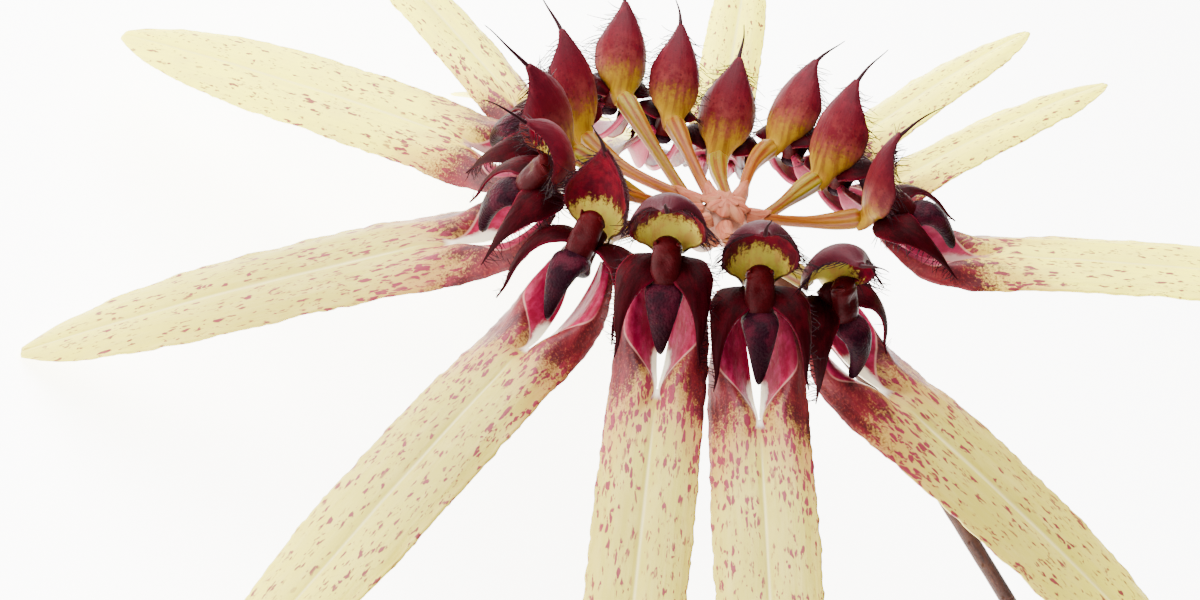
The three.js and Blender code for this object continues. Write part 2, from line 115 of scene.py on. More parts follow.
def length(name, description, default):
    """A length property; its default is given in millimetres."""
    return FloatProperty(name=name, description=description, default=default * MM, min=0.0,
                         unit="LENGTH", precision=5)


def degrees(name, description, default):
    """An angle property, in degrees."""
    return FloatProperty(name=name, description=description, default=default)


def tally(name, description, default):
    """A count property."""
    return IntProperty(name=name, description=description, default=default)


def tint(name, description, code):
    """A colour property."""
    return FloatVectorProperty(name=name, description=description, default=linear(code),
                               subtype="COLOR", size=3, min=0.0, max=1.0)


class StrapSettings(bpy.types.PropertyGroup):
    """Joined lateral sepals."""

    length: length("Length", "From the ovary to the tip along the fold", 47.0)
    slit: length("Slit", "Open stretch between the two sepals", 9.5)
    fold: length("Fold", "Where the strap has swung round to its droop", 8.0)
    thickness: length("Thickness", "Thickness of the blade along its middle", 0.5)
    ripple: length("Ripple", "Depth of the fine scallops along the margins", 0.13)
    start_slope: degrees("Start slope", "Degrees below level at the base", 58.0)
    arch: degrees("Arch", "Degrees that the strap bends down to its tip", 8.0)
    cream: tint("Cream", "Ground colour of the strap", "#aa9c3a")
    # Paler ground towards the tips; on the far flowers' straps it is also a painted backlit glow.
    pale: tint("Pale", "Ground colour of the older straps", "#faf048")
    speckle: tint("Speckle", "Streak-shaped spots", "#6c002e")
    base_red: tint("Base red", "Outer slopes at the base", "#38040c")
    magenta: tint("Magenta", "Inner slopes beside the slit", "#7c0228")
    slit_white: tint("Slit white", "Rim of the slit", "#efe9d2")
    seam: tint("Seam", "Line along the fold", "#d9a490")


class HoodSettings(bpy.types.PropertyGroup):
    """Dorsal sepals."""

    length: length("Length", "Dorsal sepal without its bristle", 8.3)
    half_width: length("Half width", "Half of the widest place", 2.75)
    bristle: length("Bristle", "Bristle at the tip", 4.8)
    thickness: length("Thickness", "Thickness of the blade along its middle", 0.42)
    outside: tint("Outside", "Middle of the outer face", "#480510")
    outside_tip: tint("Outside tip", "Outer face at the tip and rims", "#380812")
    outside_base: tint("Outside base", "Outer face above the ovary", "#80600e")
    inside: tint("Inside", "Inner face around the column", "#b2a23c")
    band: tint("Band", "Dark inner face towards the rim", "#560414")


class CentreSettings(bpy.types.PropertyGroup):
    """Petals, column and lip."""

    petal_thickness: length("Petal thickness", "Thickness along the middle", 0.38)
    petal: tint("Petal", "Middle of the petals", "#1a0002")
    # Painted backlit glow: crimson where light shines through the petals.
    petal_backlit_glow: tint("Petal light", "Thin places of the petals", "#380108")
    column: tint("Column", "Column", "#280204")
    column_top: tint("Column top", "Anther cap", "#400406")
    lip: tint("Lip", "Lip", "#150209")
    # Painted sheen: the lighter colour over the middle of the lip stands in for a highlight.
    lip_sheen: tint("Lip light", "Bloom on the lip", "#320814")


class CarrierSettings(bpy.types.PropertyGroup):
    """Pedicels, bracts and stalk."""

    pedicel_radius: length("Pedicel radius", "Thin part of a pedicel", 0.5)
    stalk_radius: length("Stalk radius", "Stalk under the head", 0.85)
    stalk_length: length("Stalk length", "Stalk from the head to the cut", 92.0)
    pedicel_yellow: tint("Pedicel yellow", "Olive pedicels", "#664a04")
    pedicel_orange: tint("Pedicel orange", "Orange pedicels", "#74400a")
    pedicel_stripe: tint("Pedicel stripe", "Stripes along the ribs", "#5a1c04")
    bract: tint("Bract", "Floral bracts", "#8c4e38")
    stalk: tint("Stalk", "Stalk", "#3c2016")
    stalk_dark: tint("Stalk dark", "Mottling on the stalk", "#200f0a")
    cut: tint("Cut", "Cut face of the stalk", "#b9a878")


class HairSettings(bpy.types.PropertyGroup):
    """Fine hairs along the margins."""

    length: length("Length", "Longest hairs", 1.9)
    radius: length("Radius", "Radius at the root of a hair", 0.055)
    hood_count: tally("Hood hairs", "Hairs along one margin of a hood", 34)
    petal_count: tally("Petal hairs", "Hairs along one margin of a petal", 30)
    colour: tint("Colour", "Hairs and bristles", "#22060c")


class StageSettings(bpy.types.PropertyGroup):
    """Floor and light."""

    floor: tint("Floor", "Floor", "#f4f3f1")
    size: length("Size", "Edge of the floor", 4000.0)


# ---- shader maths ---------------------------------------------------------------------------

class Wire:
    """A value in a shader; arithmetic on it adds Math nodes."""

    def __init__(self, finish, socket):
        self.finish = finish
        self.socket = socket

    def maths(self, operation, *values):
        """The result of a Math node on these values."""
        return self.finish.add("ShaderNodeMath", {"operation": operation}, dict(enumerate(values)))

    def __add__(self, other):
        return self.maths("ADD", self, other)

    __radd__ = __add__

    def __sub__(self, other):
        return self.maths("SUBTRACT", self, other)

    def __rsub__(self, other):
        return self.maths("SUBTRACT", other, self)

    def __mul__(self, other):
        return self.maths("MULTIPLY", self, other)

    __rmul__ = __mul__

    def __abs__(self):
        return self.maths("ABSOLUTE", self)

    def between(self, low, high):
        """0 below low, 1 above high, smooth in between; low may be the greater."""
        return self.finish.add("ShaderNodeMapRange", {"interpolation_type": "SMOOTHSTEP"},
                               {"Value": self, "From Min": low, "From Max": high})

    def line(self, place, half_width):
        """1 on a place, fading to 0 at half_width from it."""
        return 1 - abs(self - place).between(0.0, half_width)


class Finish:
    """A material under construction; colours are settings, #rrggbb codes or wires."""

    def __init__(self, name):
        self.material = bpy.data.materials.new(name)
        self.material.use_nodes = True
        self.tree = self.material.node_tree
        self.tree.nodes.clear()
        self.output = self.tree.nodes.new("ShaderNodeOutputMaterial")

    def add(self, kind, settings=None, inputs=None, output=0):
        """A node of that kind with its settings, and its sockets' values or links; returns one output."""
        node = self.tree.nodes.new(kind)
        for name, value in (settings or {}).items():
            setattr(node, name, value)
        for name, value in (inputs or {}).items():
            socket = node.inputs[name]
            if isinstance(value, Wire):
                self.tree.links.new(value.socket, socket)
            elif socket.type == "RGBA":
                colour = linear(value) if isinstance(value, str) else value[:3]
                socket.default_value = (*colour, 1.0)
            else:
                socket.default_value = value
        return Wire(self, node.outputs[output])

    def attribute(self, name):
        """A number that is stored on the mesh."""
        return self.add("ShaderNodeAttribute", {"attribute_name": name}, output=2)

    def combine(self, x, y, z):
        """A vector."""
        return self.add("ShaderNodeCombineXYZ", None, {"X": x, "Y": y, "Z": z})

    def on_blade(self, stretch):
        """A blade's millimetres, drawn out along its length by 1 / stretch, other on each flower."""
        return self.combine(self.attribute("across_mm"), self.attribute("along_mm") * stretch,
                            self.attribute("flower") * 7.3)

    def on_piece(self):
        """Place on the piece, in metres."""
        return self.add("ShaderNodeTexCoord", output=3)

    def mix(self, mask, first, second):
        """A colour between two."""
        return self.add("ShaderNodeMix", {"data_type": "RGBA"}, {0: mask, 6: first, 7: second}, output=2)

    def layers(self, ground, *coats):
        """The ground under coats of (mask, colour), the lowest coat first."""
        for mask, colour in coats:
            ground = self.mix(mask, ground, colour)
        return ground

    def noise(self, place, scale, detail=3.0, roughness=0.5, output=0):
        """Cloudy noise from 0 to 1."""
        return self.add("ShaderNodeTexNoise", None, {"Vector": place, "Scale": scale, "Detail": detail,
                                                     "Roughness": roughness}, output)

    def grain(self):
        """The finest noise on a blade."""
        return self.noise(self.on_piece(), 5200.0, 2.0)

    def cells(self, place, scale, output=0):
        """Distance to the nearest of scattered points, or as output 1 that point's random colour."""
        return self.add("ShaderNodeTexVoronoi", None, {"Vector": place, "Scale": scale}, output)

    def marks(self, place, scale):
        """Two random numbers of the nearest scattered point."""
        colour = self.cells(place, scale, 1)
        return [self.add("ShaderNodeSeparateColor", None, {"Color": colour}, i) for i in (0, 1)]

    def relief(self, height, depth, strength=0.8):
        """A surface normal bent by a height; depth is what a height of 1 stands for, in metres."""
        return self.add("ShaderNodeBump", None, {"Height": height, "Distance": depth, "Strength": strength})

    def close(self, colour, roughness, normal=None, specular=0.5, flesh=None, glow=0.0):
        """Ends the material with one Principled surface.

        flesh lets light in, as (share, depth in metres, reach of red, green and blue).
        """
        inputs = {"Base Color": colour, "Roughness": roughness, "Specular IOR Level": specular}
        if normal is not None:
            inputs["Normal"] = normal
        if flesh:
            inputs.update(zip(("Subsurface Weight", "Subsurface Scale", "Subsurface Radius"), flesh))
        if glow:
            inputs.update({"Emission Color": colour, "Emission Strength": glow})
        surface = self.add("ShaderNodeBsdfPrincipled", None, inputs)
        self.tree.links.new(surface.socket, self.output.inputs["Surface"])
        return self.material


# ---- finishes -------------------------------------------------------------------------------

def strap_finish(settings):
    """Cream with red streak-shaped spots, red base, magenta slopes beside the slit."""
    f = Finish("Strap")
    along = f.attribute("along_mm")
    off_middle = abs(f.attribute("across"))
    flower = f.attribute("flower")
    # Painted light: flowers 5 to 12, which lie away from the camera, get a paler backlit ground, fewer
    # spots, a fainter slit rim and a purple tint on the slope; the others keep the shaded cream.
    far_backlit = (flower - 3.5).between(0.0, 0.1) * (flower - 11.5).between(0.1, 0.0)
    place = f.on_blade(0.28)
    wander = f.noise(place, 0.55, 2.0)
    clouds = f.noise(place, 0.9, 4.0, 0.6)
    veins = f.noise(f.on_blade(0.05), 3.2, 2.0)

    # The ground: paler towards the tip, with a painted backlit paleness on the far flowers and a painted
    # highlight as a pale midrib.
    ground = f.layers(
        settings.cream,
        ((along.between(16.0, 44.0) * 0.5 + far_backlit * 0.7).between(0.0, 1.0), settings.pale),
        (veins.between(0.42, 0.7) * 0.16, "#c4b06a"),
        (clouds.between(0.4, 0.75) * 0.3, "#cab868"),
        # Painted highlight: a pale line along the middle of the strap, from about 13 mm on.
        (off_middle.between(0.08, 0.0) * along.between(11.0, 15.0) * 0.5, "#ddd59a"),
    )

    # Spots round scattered points, crowded towards the base and gathered in places.
    bent = f.add("ShaderNodeVectorMath", {"operation": "MULTIPLY_ADD"},
                 {0: f.noise(place, 3.2, 2.0, output=1), 1: (0.5, 0.5, 0.5), 2: place})
    spot_chance, spot_size = f.marks(bent, 3.2)
    # The fewer spots on the far flowers belong to their painted backlit look.
    share = 0.95 - 0.2 * along.between(9.0, 38.0) - far_backlit * 0.3
    crowd = (along - off_middle * 5.0).between(18.0, 6.0)
    gather = f.noise(f.on_blade(0.5), 1.7, 2.0).between(0.4, 0.52)
    size = 0.18 + 0.26 * spot_size + crowd * 0.1
    spots = (f.cells(bent, 3.2) - size).between(0.16, -0.1) * (spot_chance - share).between(0.04, -0.04)
    spots = spots * (gather * 0.85 + 0.15 + crowd) * (0.55 + 0.6 * spot_size)
    fine_chance, _ = f.marks(bent, 5.6)
    fine = (f.cells(bent, 5.6) - 0.3).between(0.08, -0.08) * (fine_chance - 0.42).between(0.03, -0.03)
    fine = fine * wander.between(0.42, 0.56)
    spots = (spots + fine * 0.8) * (1 - along.between(34.0, 52.0) * 0.5) * off_middle.between(0.04, 0.16)
    blush = (crowd * 0.8 + (clouds - 0.5) * 0.6).between(0.1, 0.9)
    spotted = f.layers(ground, (blush * 0.5, "#8e3230"),
                       (spots.between(0.0, 1.0) * 0.94, settings.speckle))

    # The red base, with a ragged edge.
    stipple = f.noise(f.on_blade(0.7), 7.0, 3.0, 0.7)
    edge = (along + (wander - 0.5) * 7.0 + (clouds - 0.5) * 5.0 + (stipple - 0.5) * 9.0
            - off_middle * 5.0)
    base = f.layers(settings.base_red, (clouds.between(0.38, 0.62), "#5c0e18"),
                    (stipple.between(0.5, 0.66) * 0.5, "#7c2c24"))
    colour = f.mix(edge.between(8.6, 4.4), spotted, base)

    # The slopes between the seam and the slit, which has a white rim.
    seam_at = 0.74 - 0.32 * along.between(4.5, 10.2)
    inner = (off_middle - seam_at).between(0.02, -0.02) * along.between(10.6, 9.6)
    mottle = f.noise(f.on_blade(0.35), 2.4, 4.0, 0.65)
    rim = off_middle.between(0.56, 0.36) * along.between(4.0, 7.5) + (mottle - 0.5) * 0.5
    # On the far flowers the fainter white rim and the purple tint are part of their painted backlit look.
    slope = f.layers(settings.magenta, (mottle.between(0.4, 0.72), "#a01c48"),
                     (rim.between(0.35, 0.7) * (0.9 - far_backlit * 0.5), settings.slit_white),
                     (far_backlit * 0.4, "#702038"))
    seam = (off_middle - seam_at).line(0.0, 0.022) * along.between(11.0, 9.5) * along.between(3.0, 7.0)
    colour = f.layers(colour, (inner, slope), (seam * 0.45, settings.seam))

    height = veins * 0.6 + f.grain() * 0.25 + spots * 0.1
    return f.close(colour, 0.42 + 0.12 * clouds, f.relief(height, 0.00012, 0.7), 0.2,
                   flesh=(0.1, 0.0008, (1.0, 0.7, 0.35)))


def hood_finish(settings):
    """Rosy and purple outside over a yellow base; yellow inside with a dark red band."""
    f = Finish("Hood")
    share = f.attribute("share")
    off_middle = abs(f.attribute("across"))
    veins = f.noise(f.on_blade(0.06), 4.0, 2.0)
    clouds = f.noise(f.on_blade(0.5), 1.4, 4.0, 0.6)
    ragged = f.noise(f.on_blade(0.12), 3.4, 3.0, 0.6)
    mottle = f.noise(f.on_blade(0.6), 5.0, 4.0, 0.7)
    stipple = f.noise(f.on_blade(0.6), 6.0, 3.0, 0.7)
    freckles = f.cells(f.on_blade(0.6), 3.4)

    rosy = (share + (veins - 0.5) * 0.2 + (mottle - 0.5) * 0.35).between(0.14, 0.44)
    darker = (share.between(0.5, 0.95) + off_middle.between(0.55, 1.0) * 0.6).between(0.0, 1.0)
    dusty = (clouds * 0.6 + mottle * 0.4).between(0.4, 0.6)
    dusty = dusty * share.between(0.7, 0.35) * share.between(0.15, 0.35)
    # Painted shade: the front flowers 1 to 4, whose hoods face the camera, get a darker outer face.
    front = (f.attribute("flower") - 3.5).between(0.1, 0.0)
    outside = f.layers(
        settings.outside_base,
        (rosy, settings.outside),
        (veins.between(0.45, 0.62) * 0.4, "#440612"),
        (darker * 0.85, settings.outside_tip),
        (clouds.between(0.5, 0.72) * 0.3, "#64101e"),
        (dusty * 0.5, "#6c3028"),
        # Painted shade on the front hoods' outer faces.
        (front * share.between(0.1, 0.3) * 0.75, "#2a0810"),
        (freckles.between(0.3, 0.12) * share.between(0.15, 0.4) * 0.5, "#2c030c"),
    )

    reach = share + (ragged - 0.5) * 0.26 + off_middle * off_middle * 0.12 + (stipple - 0.5) * 0.3
    inside = f.layers(
        settings.inside,
        (clouds.between(0.42, 0.66) * 0.6, "#a8743c"),
        (reach.between(0.32, 0.42), f.mix(clouds.between(0.35, 0.65), settings.band, "#36030e")),
        (share.between(0.8, 0.97) * 0.5, "#34040e"),
    )
    colour = f.layers(outside, (f.attribute("hollow"), inside),
                      (off_middle.between(0.93, 1.0) * 0.8, "#340812"))
    return f.close(colour, 0.42 + 0.1 * clouds, f.relief(veins * 0.7 + f.grain() * 0.3, 0.0001), 0.05,
                   flesh=(0.05, 0.001, (1.0, 0.3, 0.3)))


def petal_finish(settings):
    """Deep maroon, with a painted backlit crimson glow in cloudy patches towards the base and on the
    margins.
    """
    f = Finish("Petal")
    share = f.attribute("share")
    veins = f.noise(f.on_blade(0.08), 4.5, 2.0)
    clouds = f.noise(f.on_blade(0.6), 1.1, 4.0, 0.6)
    colour = f.layers(
        settings.petal,
        # Painted backlit glow in cloudy patches towards the petal's base.
        (clouds.between(0.42, 0.68) * share.between(0.75, 0.25) * 0.7, settings.petal_backlit_glow),
        (veins.between(0.48, 0.62) * 0.45, "#240106"),
        (share.between(0.6, 1.0) * 0.7, "#1c0206"),
        # Painted backlit glow along the petal's margins.
        (abs(f.attribute("across")).between(0.86, 1.0) * 0.5, "#54061a"),
    )
    return f.close(colour, 0.45 + 0.1 * clouds, f.relief(veins * 0.6 + f.grain() * 0.3, 0.0001), 0.02,
                   flesh=(0.05, 0.0008, (1.0, 0.2, 0.2)))


def column_finish(settings):
    """Dark red-brown, lighter over the anther cap."""
    f = Finish("Column")
    clouds = f.noise(f.on_piece(), 900.0, 4.0, 0.6)
    specks = f.noise(f.on_piece(), 3600.0, 3.0, 0.6)
    colour = f.layers(
        settings.column,
        (f.attribute("share").between(0.45, 0.95) * 0.75, settings.column_top),
        (clouds.between(0.45, 0.7) * 0.5, "#3a080e"),
        (specks.between(0.6, 0.75) * 0.35, "#180306"),
    )
    return f.close(colour, 0.3 + 0.15 * clouds, f.relief(specks * 0.5 + clouds * 0.4, 0.00012), 0.04)


def lip_finish(settings):
    """Near black purple with a painted sheen over the middle and fine papillae."""
    f = Finish("Lip")
    clouds = f.noise(f.on_piece(), 700.0, 4.0, 0.6)
    papillae = f.cells(f.on_piece(), 5200.0)
    # Painted sheen in cloudy patches over the middle of the lip.
    painted_sheen = clouds.between(0.42, 0.66) * f.attribute("share").line(0.5, 0.42)
    return f.close(f.mix(painted_sheen, settings.lip, settings.lip_sheen), 0.38 + 0.15 * clouds,
                   f.relief(papillae * -0.6 + clouds * 0.4, 0.00012), 0.03)


def hair_finish(settings):
    """Dark maroon hairs."""
    f = Finish("Hair")
    colour = f.mix(f.attribute("share").between(0.0, 1.0), settings.colour, "#120306")
    return f.close(colour, 0.5, specular=0.05)


def pedicel_finish(settings, olive):
    """Olive or orange, with brown-red stripes between the ribs."""
    f = Finish("Pedicel olive" if olive else "Pedicel orange")
    turn = f.attribute("turn")
    share = f.attribute("share")
    rib_angle = turn * (PEDICEL_RIBS * tau)
    streak = f.noise(f.combine(turn * 9.0, share * 2.2, f.attribute("flower") * 5.1), 1.6, 3.0, 0.6)
    clouds = f.noise(f.on_piece(), 420.0, 4.0, 0.6)
    stripe = rib_angle.maths("COSINE", rib_angle).between(0.3, -0.7) * streak.between(0.34, 0.56)
    colour = f.layers(
        settings.pedicel_yellow if olive else settings.pedicel_orange,
        (share.between(0.45, 0.95), "#6c5c0a" if olive else "#70500a"),
        (share.between(0.3, 0.05) * 0.6, "#88452c"),
        (stripe * 0.85, settings.pedicel_stripe),
        (clouds.between(0.45, 0.7) * 0.35, "#78380c"),
    )
    height = f.noise(f.on_piece(), 4200.0, 3.0) * 0.4 + streak * 0.3
    return f.close(colour, 0.36 + 0.1 * clouds, f.relief(height, 0.0001), 0.12,
                   flesh=(0.08, 0.001, (1.0, 0.6, 0.3)))


def bract_finish(settings):
    """Pale pink and papery."""
    f = Finish("Bract")
    veins = f.noise(f.on_blade(0.12), 5.0, 2.0)
    clouds = f.noise(f.on_piece(), 700.0, 3.0)
    colour = f.layers(
        settings.bract,
        (veins.between(0.42, 0.6) * 0.6, "#7a3420"),
        (clouds.between(0.45, 0.7) * 0.5, "#946848"),
        (f.attribute("share").between(0.55, 1.0) * 0.6, "#74401c"),
    )
    return f.close(colour, 0.6, f.relief(veins, 0.00015, 0.9), 0.1, flesh=(0.12, 0.001, (1.0, 0.5, 0.4)))


def stalk_finish(settings):
    """Brown and mottled."""
    f = Finish("Stalk")
    streak = f.noise(f.combine(f.attribute("turn") * 6.0, f.attribute("share") * 14.0, 0.0), 2.0, 4.0, 0.6)
    mottle = f.noise(f.on_piece(), 900.0, 4.0, 0.65)
    colour = f.layers(settings.stalk, (streak.between(0.4, 0.62) * 0.7, settings.stalk_dark),
                      (mottle.between(0.5, 0.7) * 0.5, "#4e3020"))
    height = f.noise(f.on_piece(), 4200.0, 3.0) * 0.4 + streak * 0.5
    return f.close(colour, 0.48 + 0.12 * mottle, f.relief(height, 0.00015), 0.1)


def head_finish():
    """Pinkish tan, where the pedicels leave the stalk."""
    f = Finish("Head")
    mottle = f.noise(f.on_piece(), 900.0, 4.0, 0.65)
    colour = f.mix(mottle.between(0.35, 0.65), "#b07860", "#8e5644")
    return f.close(colour, 0.5, f.relief(mottle, 0.00015))


def cut_finish(settings):
    """The pale cut face, with darker dots."""
    f = Finish("Cut face")
    dots = f.cells(f.on_piece(), 4200.0)
    colour = f.mix(dots.between(0.0, 0.35), "#8a7648", settings.cut)
    return f.close(colour, 0.6, f.relief(dots, 0.0001, 0.6))


# ---- general shapes -------------------------------------------------------------------------

def along_line(s, stations):
    """Value at s on a straight line through (s, value) stations."""
    if s <= stations[0][0]:
        return stations[0][1]
    for (s0, v0), (s1, v1) in zip(stations, stations[1:]):
        if s <= s1:
            return v0 + (v1 - v0) * (s - s0) / (s1 - s0)
    return stations[-1][1]


def along_curve(s, stations):
    """Value at s on a smooth curve through (s, value) stations, without overshoot."""
    places = [p for p, _ in stations]
    values = [v for _, v in stations]
    if s <= places[0]:
        return values[0]
    if s >= places[-1]:
        return values[-1]
    last = len(places) - 1
    i = max(k for k in range(last) if places[k] <= s)
    rise = [(values[k + 1] - values[k]) / (places[k + 1] - places[k]) for k in range(last)]

    def slope(k):
        if k == 0:
            return rise[0]
        if k == last:
            return rise[-1]
        if rise[k - 1] * rise[k] <= 0:
            return 0.0
        return 2 * rise[k - 1] * rise[k] / (rise[k - 1] + rise[k])

    gap = places[i + 1] - places[i]
    t = (s - places[i]) / gap
    return (values[i] * (1 + 2 * t) * (1 - t) ** 2 + slope(i) * gap * t * (1 - t) ** 2
            + values[i + 1] * t * t * (3 - 2 * t) - slope(i + 1) * gap * t * t * (1 - t))


def ease(value, low, high):
    """0 below low, 1 above high, smooth in between."""
    t = min(max((value - low) / (high - low), 0.0), 1.0)
    return t * t * (3 - 2 * t)


def waver(*place):
    """Smooth noise from -1 to 1."""
    return noise.noise(Vector(place))


def curve_through(points):
    """A smooth path through points; the function that it returns gives (place, direction) at 0 to 1."""
    points = [Vector(p) for p in points]

    def at(t):
        span = min(max(t, 0.0), 1.0) * (len(points) - 1)
        i = min(int(span), len(points) - 2)
        u = span - i
        a, b = points[i], points[i + 1]
        before = points[i - 1] if i > 0 else a * 2 - b
        after = points[i + 2] if i + 2 < len(points) else b * 2 - a
        m0, m1 = (b - before) / 2, (after - a) / 2
        place = (a * (2 * u ** 3 - 3 * u ** 2 + 1) + m0 * (u ** 3 - 2 * u ** 2 + u)
                 + b * (3 * u ** 2 - 2 * u ** 3) + m1 * (u ** 3 - u ** 2))
        forward = (a * (6 * u ** 2 - 6 * u) + m0 * (3 * u ** 2 - 4 * u + 1)
                   + b * (6 * u - 6 * u ** 2) + m1 * (3 * u ** 2 - 2 * u))
        return place, forward.normalized()

    return at


def fold_line(start, end_distance, slope_at, step=0.25):
    """A path in the X-Z plane with the slope in degrees that slope_at gives at each distance.

    The function that it returns gives (place, forward, upward) at a distance.
    """
    count = ceil(end_distance / step)
    places = [Vector(start)]
    for i in range(count):
        slope = radians(slope_at((i + 0.5) * step))
        places.append(places[-1] + Vector((cos(slope), 0, sin(slope))) * step)

    def at(distance):
        i = min(int(distance / step), count - 1)
        place = places[i].lerp(places[i + 1], distance / step - i)
        slope = radians(slope_at(distance))
        forward = Vector((cos(slope), 0, sin(slope)))
        return place, forward, Vector((-sin(slope), 0, cos(slope)))

    return at


def thinning(thick, rim, tip=(0.0, 0.0)):
    """A blade's thickness, less at its rims and its tip; each is (share lost, where that starts)."""
    def thickness(across, along):
        return (thick * (1 - rim[0] * ease(abs(2 * across - 1), rim[1], 1.0))
                * (1 - tip[0] * ease(along, tip[1], 1.0)))

    return thickness


def rounded(share, first=0.12, last=0.12):
    """Closes a rod's ends round: 0 at both ends, 1 in between."""
    start = min(share / first, 1.0) if first else 1.0
    end = min((1 - share) / last, 1.0) if last else 1.0
    return sqrt(max(0.0, 1 - (1 - start) ** 2)) * sqrt(max(0.0, 1 - (1 - end) ** 2))


# Numbers that the finishes read. across runs from -1 to 1 over a blade and share from 0 to 1 along
# any shape; hollow is 1 on the face of a blade that its normals point to, a hood's inside;
# turn runs from 0 to 1 round a rod.
STORED = ("across", "across_mm", "along_mm", "share", "hollow", "turn", "flower")


class Shape:
    """A piece under construction in one bmesh, with the numbers its finishes read."""

    def __init__(self, placing, flower=0):
        self.bm = bmesh.new()
        self.stored = {name: self.bm.verts.layers.float.new(name) for name in STORED}
        self.lift = self.bm.verts.layers.float_vector.new("lift")
        self.placing = placing
        self.flower = flower

    def grid(self, columns, rows):
        """A flat grid: its vertices with their places from 0 to 1 across and along, and its faces."""
        made = bmesh.ops.create_grid(self.bm, x_segments=columns, y_segments=rows, size=0.5)["verts"]
        faces = {face for vert in made for face in vert.link_faces}
        return [(vert, vert.co.x + 0.5, vert.co.y + 0.5) for vert in made], faces

    def keep(self, vert, **numbers):
        """Stores numbers on a vertex."""
        vert[self.stored["flower"]] = self.flower
        for name, value in numbers.items():
            vert[self.stored[name]] = value

    def blade(self, columns, rows, surface, thickness, material=0, kept=None):
        """A leaf: surface(across, along) gives (place, numbers), thickness(across, along) its thickness."""
        verts, faces = self.grid(columns, rows)
        if kept:
            lost = [face for face in faces if not kept(*(face.calc_center_median().xy + Vector((0.5, 0.5))))]
            faces -= set(lost)
            bmesh.ops.delete(self.bm, geom=lost, context="FACES")
            verts = [entry for entry in verts if entry[0].is_valid]
        half = {}
        for vert, across, along in verts:
            place, numbers = surface(across, along)
            vert.co = place
            self.keep(vert, across=2 * across - 1, **numbers)
            half[vert] = thickness(across, along) / 2
        for face in faces:
            face.normal_update()
        for vert, _, _ in verts:
            vert.normal_update()
            vert[self.lift] = vert.normal * half[vert]
        grown = bmesh.ops.extrude_face_region(self.bm, geom=list(faces), use_keep_orig=True)["geom"]
        upper = [item for item in grown if isinstance(item, bmesh.types.BMVert)]
        for vert, _, _ in verts:
            vert.co -= vert[self.lift]
            vert[self.stored["hollow"]] = 0.0
        for vert in upper:
            vert.co += vert[self.lift]
            vert[self.stored["hollow"]] = 1.0
        self.close({face for vert in upper for face in vert.link_faces} | faces, material)

    def tube(self, sides, rows, path, section, material=0, side=(0, 1, 0)):
        """A rod along path; section(turn, share) gives its radii across and upwards."""
        verts, faces = self.grid(sides, rows)
        side = Vector(side)
        for vert, turn, share in verts:
            place, forward = path(share)[:2]
            across = (side - forward * side.dot(forward)).normalized()
            deep = forward.cross(across)
            wide, high = section(turn, share)
            angle = turn * tau
            vert.co = place + across * (wide * cos(angle)) + deep * (high * sin(angle))
            self.keep(vert, share=share, turn=turn)
        bmesh.ops.remove_doubles(self.bm, verts=[vert for vert, _, _ in verts], dist=1e-6)
        self.close([face for face in faces if face.is_valid], material)

    def close(self, faces, material):
        """Turns the faces of a blade or a rod outwards and gives them their finish."""
        bmesh.ops.recalc_face_normals(self.bm, faces=list(faces))
        for face in faces:
            face.smooth = True
            face.material_index = material

    def object(self, name, finishes):
        """Closes the shape and makes its object, in metres in the row frame."""
        bmesh.ops.transform(self.bm, matrix=self.placing, verts=self.bm.verts)
        self.bm.verts.layers.float_vector.remove(self.lift)
        mesh = bpy.data.meshes.new(name)
        self.bm.to_mesh(mesh)
        self.bm.free()
        for finish in finishes:
            mesh.materials.append(finish)
        return add_object(name, mesh)


def umbel_placing():
    """From millimetres in the umbel's axes to metres in the row frame."""
    columns = [Vector(UMBEL_FRONT), Vector(UMBEL_LEFT), Vector(UMBEL_AXIS)]
    turn = Matrix(columns).transposed().to_4x4()
    return Matrix.Scale(MM, 4) @ Matrix.Translation(UMBEL_PLACE) @ turn


def flower_turn(flower):
    """From a flower's axes to the umbel's."""
    angle = radians(flower["azimuth"])
    reach = flower["reach"]
    turn = Matrix.Translation((reach * cos(angle), reach * sin(angle), flower["rise"]))
    for key, axis in (("heading", "Z"), ("pitch", "Y"), ("roll", "X")):
        turn = turn @ Matrix.Rotation(radians(flower[key]), 4, axis)
    return turn


def flower_placing(flower, twisted=0.0):
    """From a flower's axes to the row frame; twisted is the share of its twist that a piece takes."""
    twist = Matrix.Rotation(radians(twisted * flower["twist"]), 4, "Z")
    return umbel_placing() @ flower_turn(flower) @ twist


def label(index):
    """A flower's name."""
    return f"flower_{index + 1:02d}"


def settle(piece, node):
    """Hides the CAD part that a piece stands for and hangs the piece under the root body."""
    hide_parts(node)
    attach(piece, "root")


# ---- lateral sepals -------------------------------------------------------------------------

# (distance, value) in millimetres: how far out from the middle and how far up lie the slit's edge,
# the ridge beside it and the outer margin. The shares say where they stand across one half.
EDGE_OUT = ((0, 1.15), (2, 0.95), (4.5, 0.62), (7, 0.42), (9.5, 0.2), (12.5, 1.0), (17, 1.3))
EDGE_UP = ((0, -0.2), (2, -0.9), (4.5, -1.6), (7, -1.4), (9.5, -0.7), (12.5, 0.1), (17, 0.05))
RIDGE_OUT = ((0, 1.7), (2, 2.4), (4.5, 2.75), (7, 2.3), (9.5, 1.45), (12.5, 2.1), (17, 2.65))
RIDGE_UP = ((0, 0.35), (2, 0.5), (4.5, 0.6), (7, 0.6), (9.5, 0.45), (12.5, 0.1), (17, -0.1))
MARGIN_OUT = ((0, 2.2), (2, 3.0), (4.5, 3.6), (7, 3.8), (9.5, 3.85), (12.5, 3.85), (17, 3.95),
              (32, 3.85), (47, 3.85))
MARGIN_UP = ((0, 0), (2, -0.2), (4.5, -0.7), (7, -0.9), (9.5, -1.0), (12.5, -0.85), (17, -0.55),
             (32, -0.4), (47, -0.3))
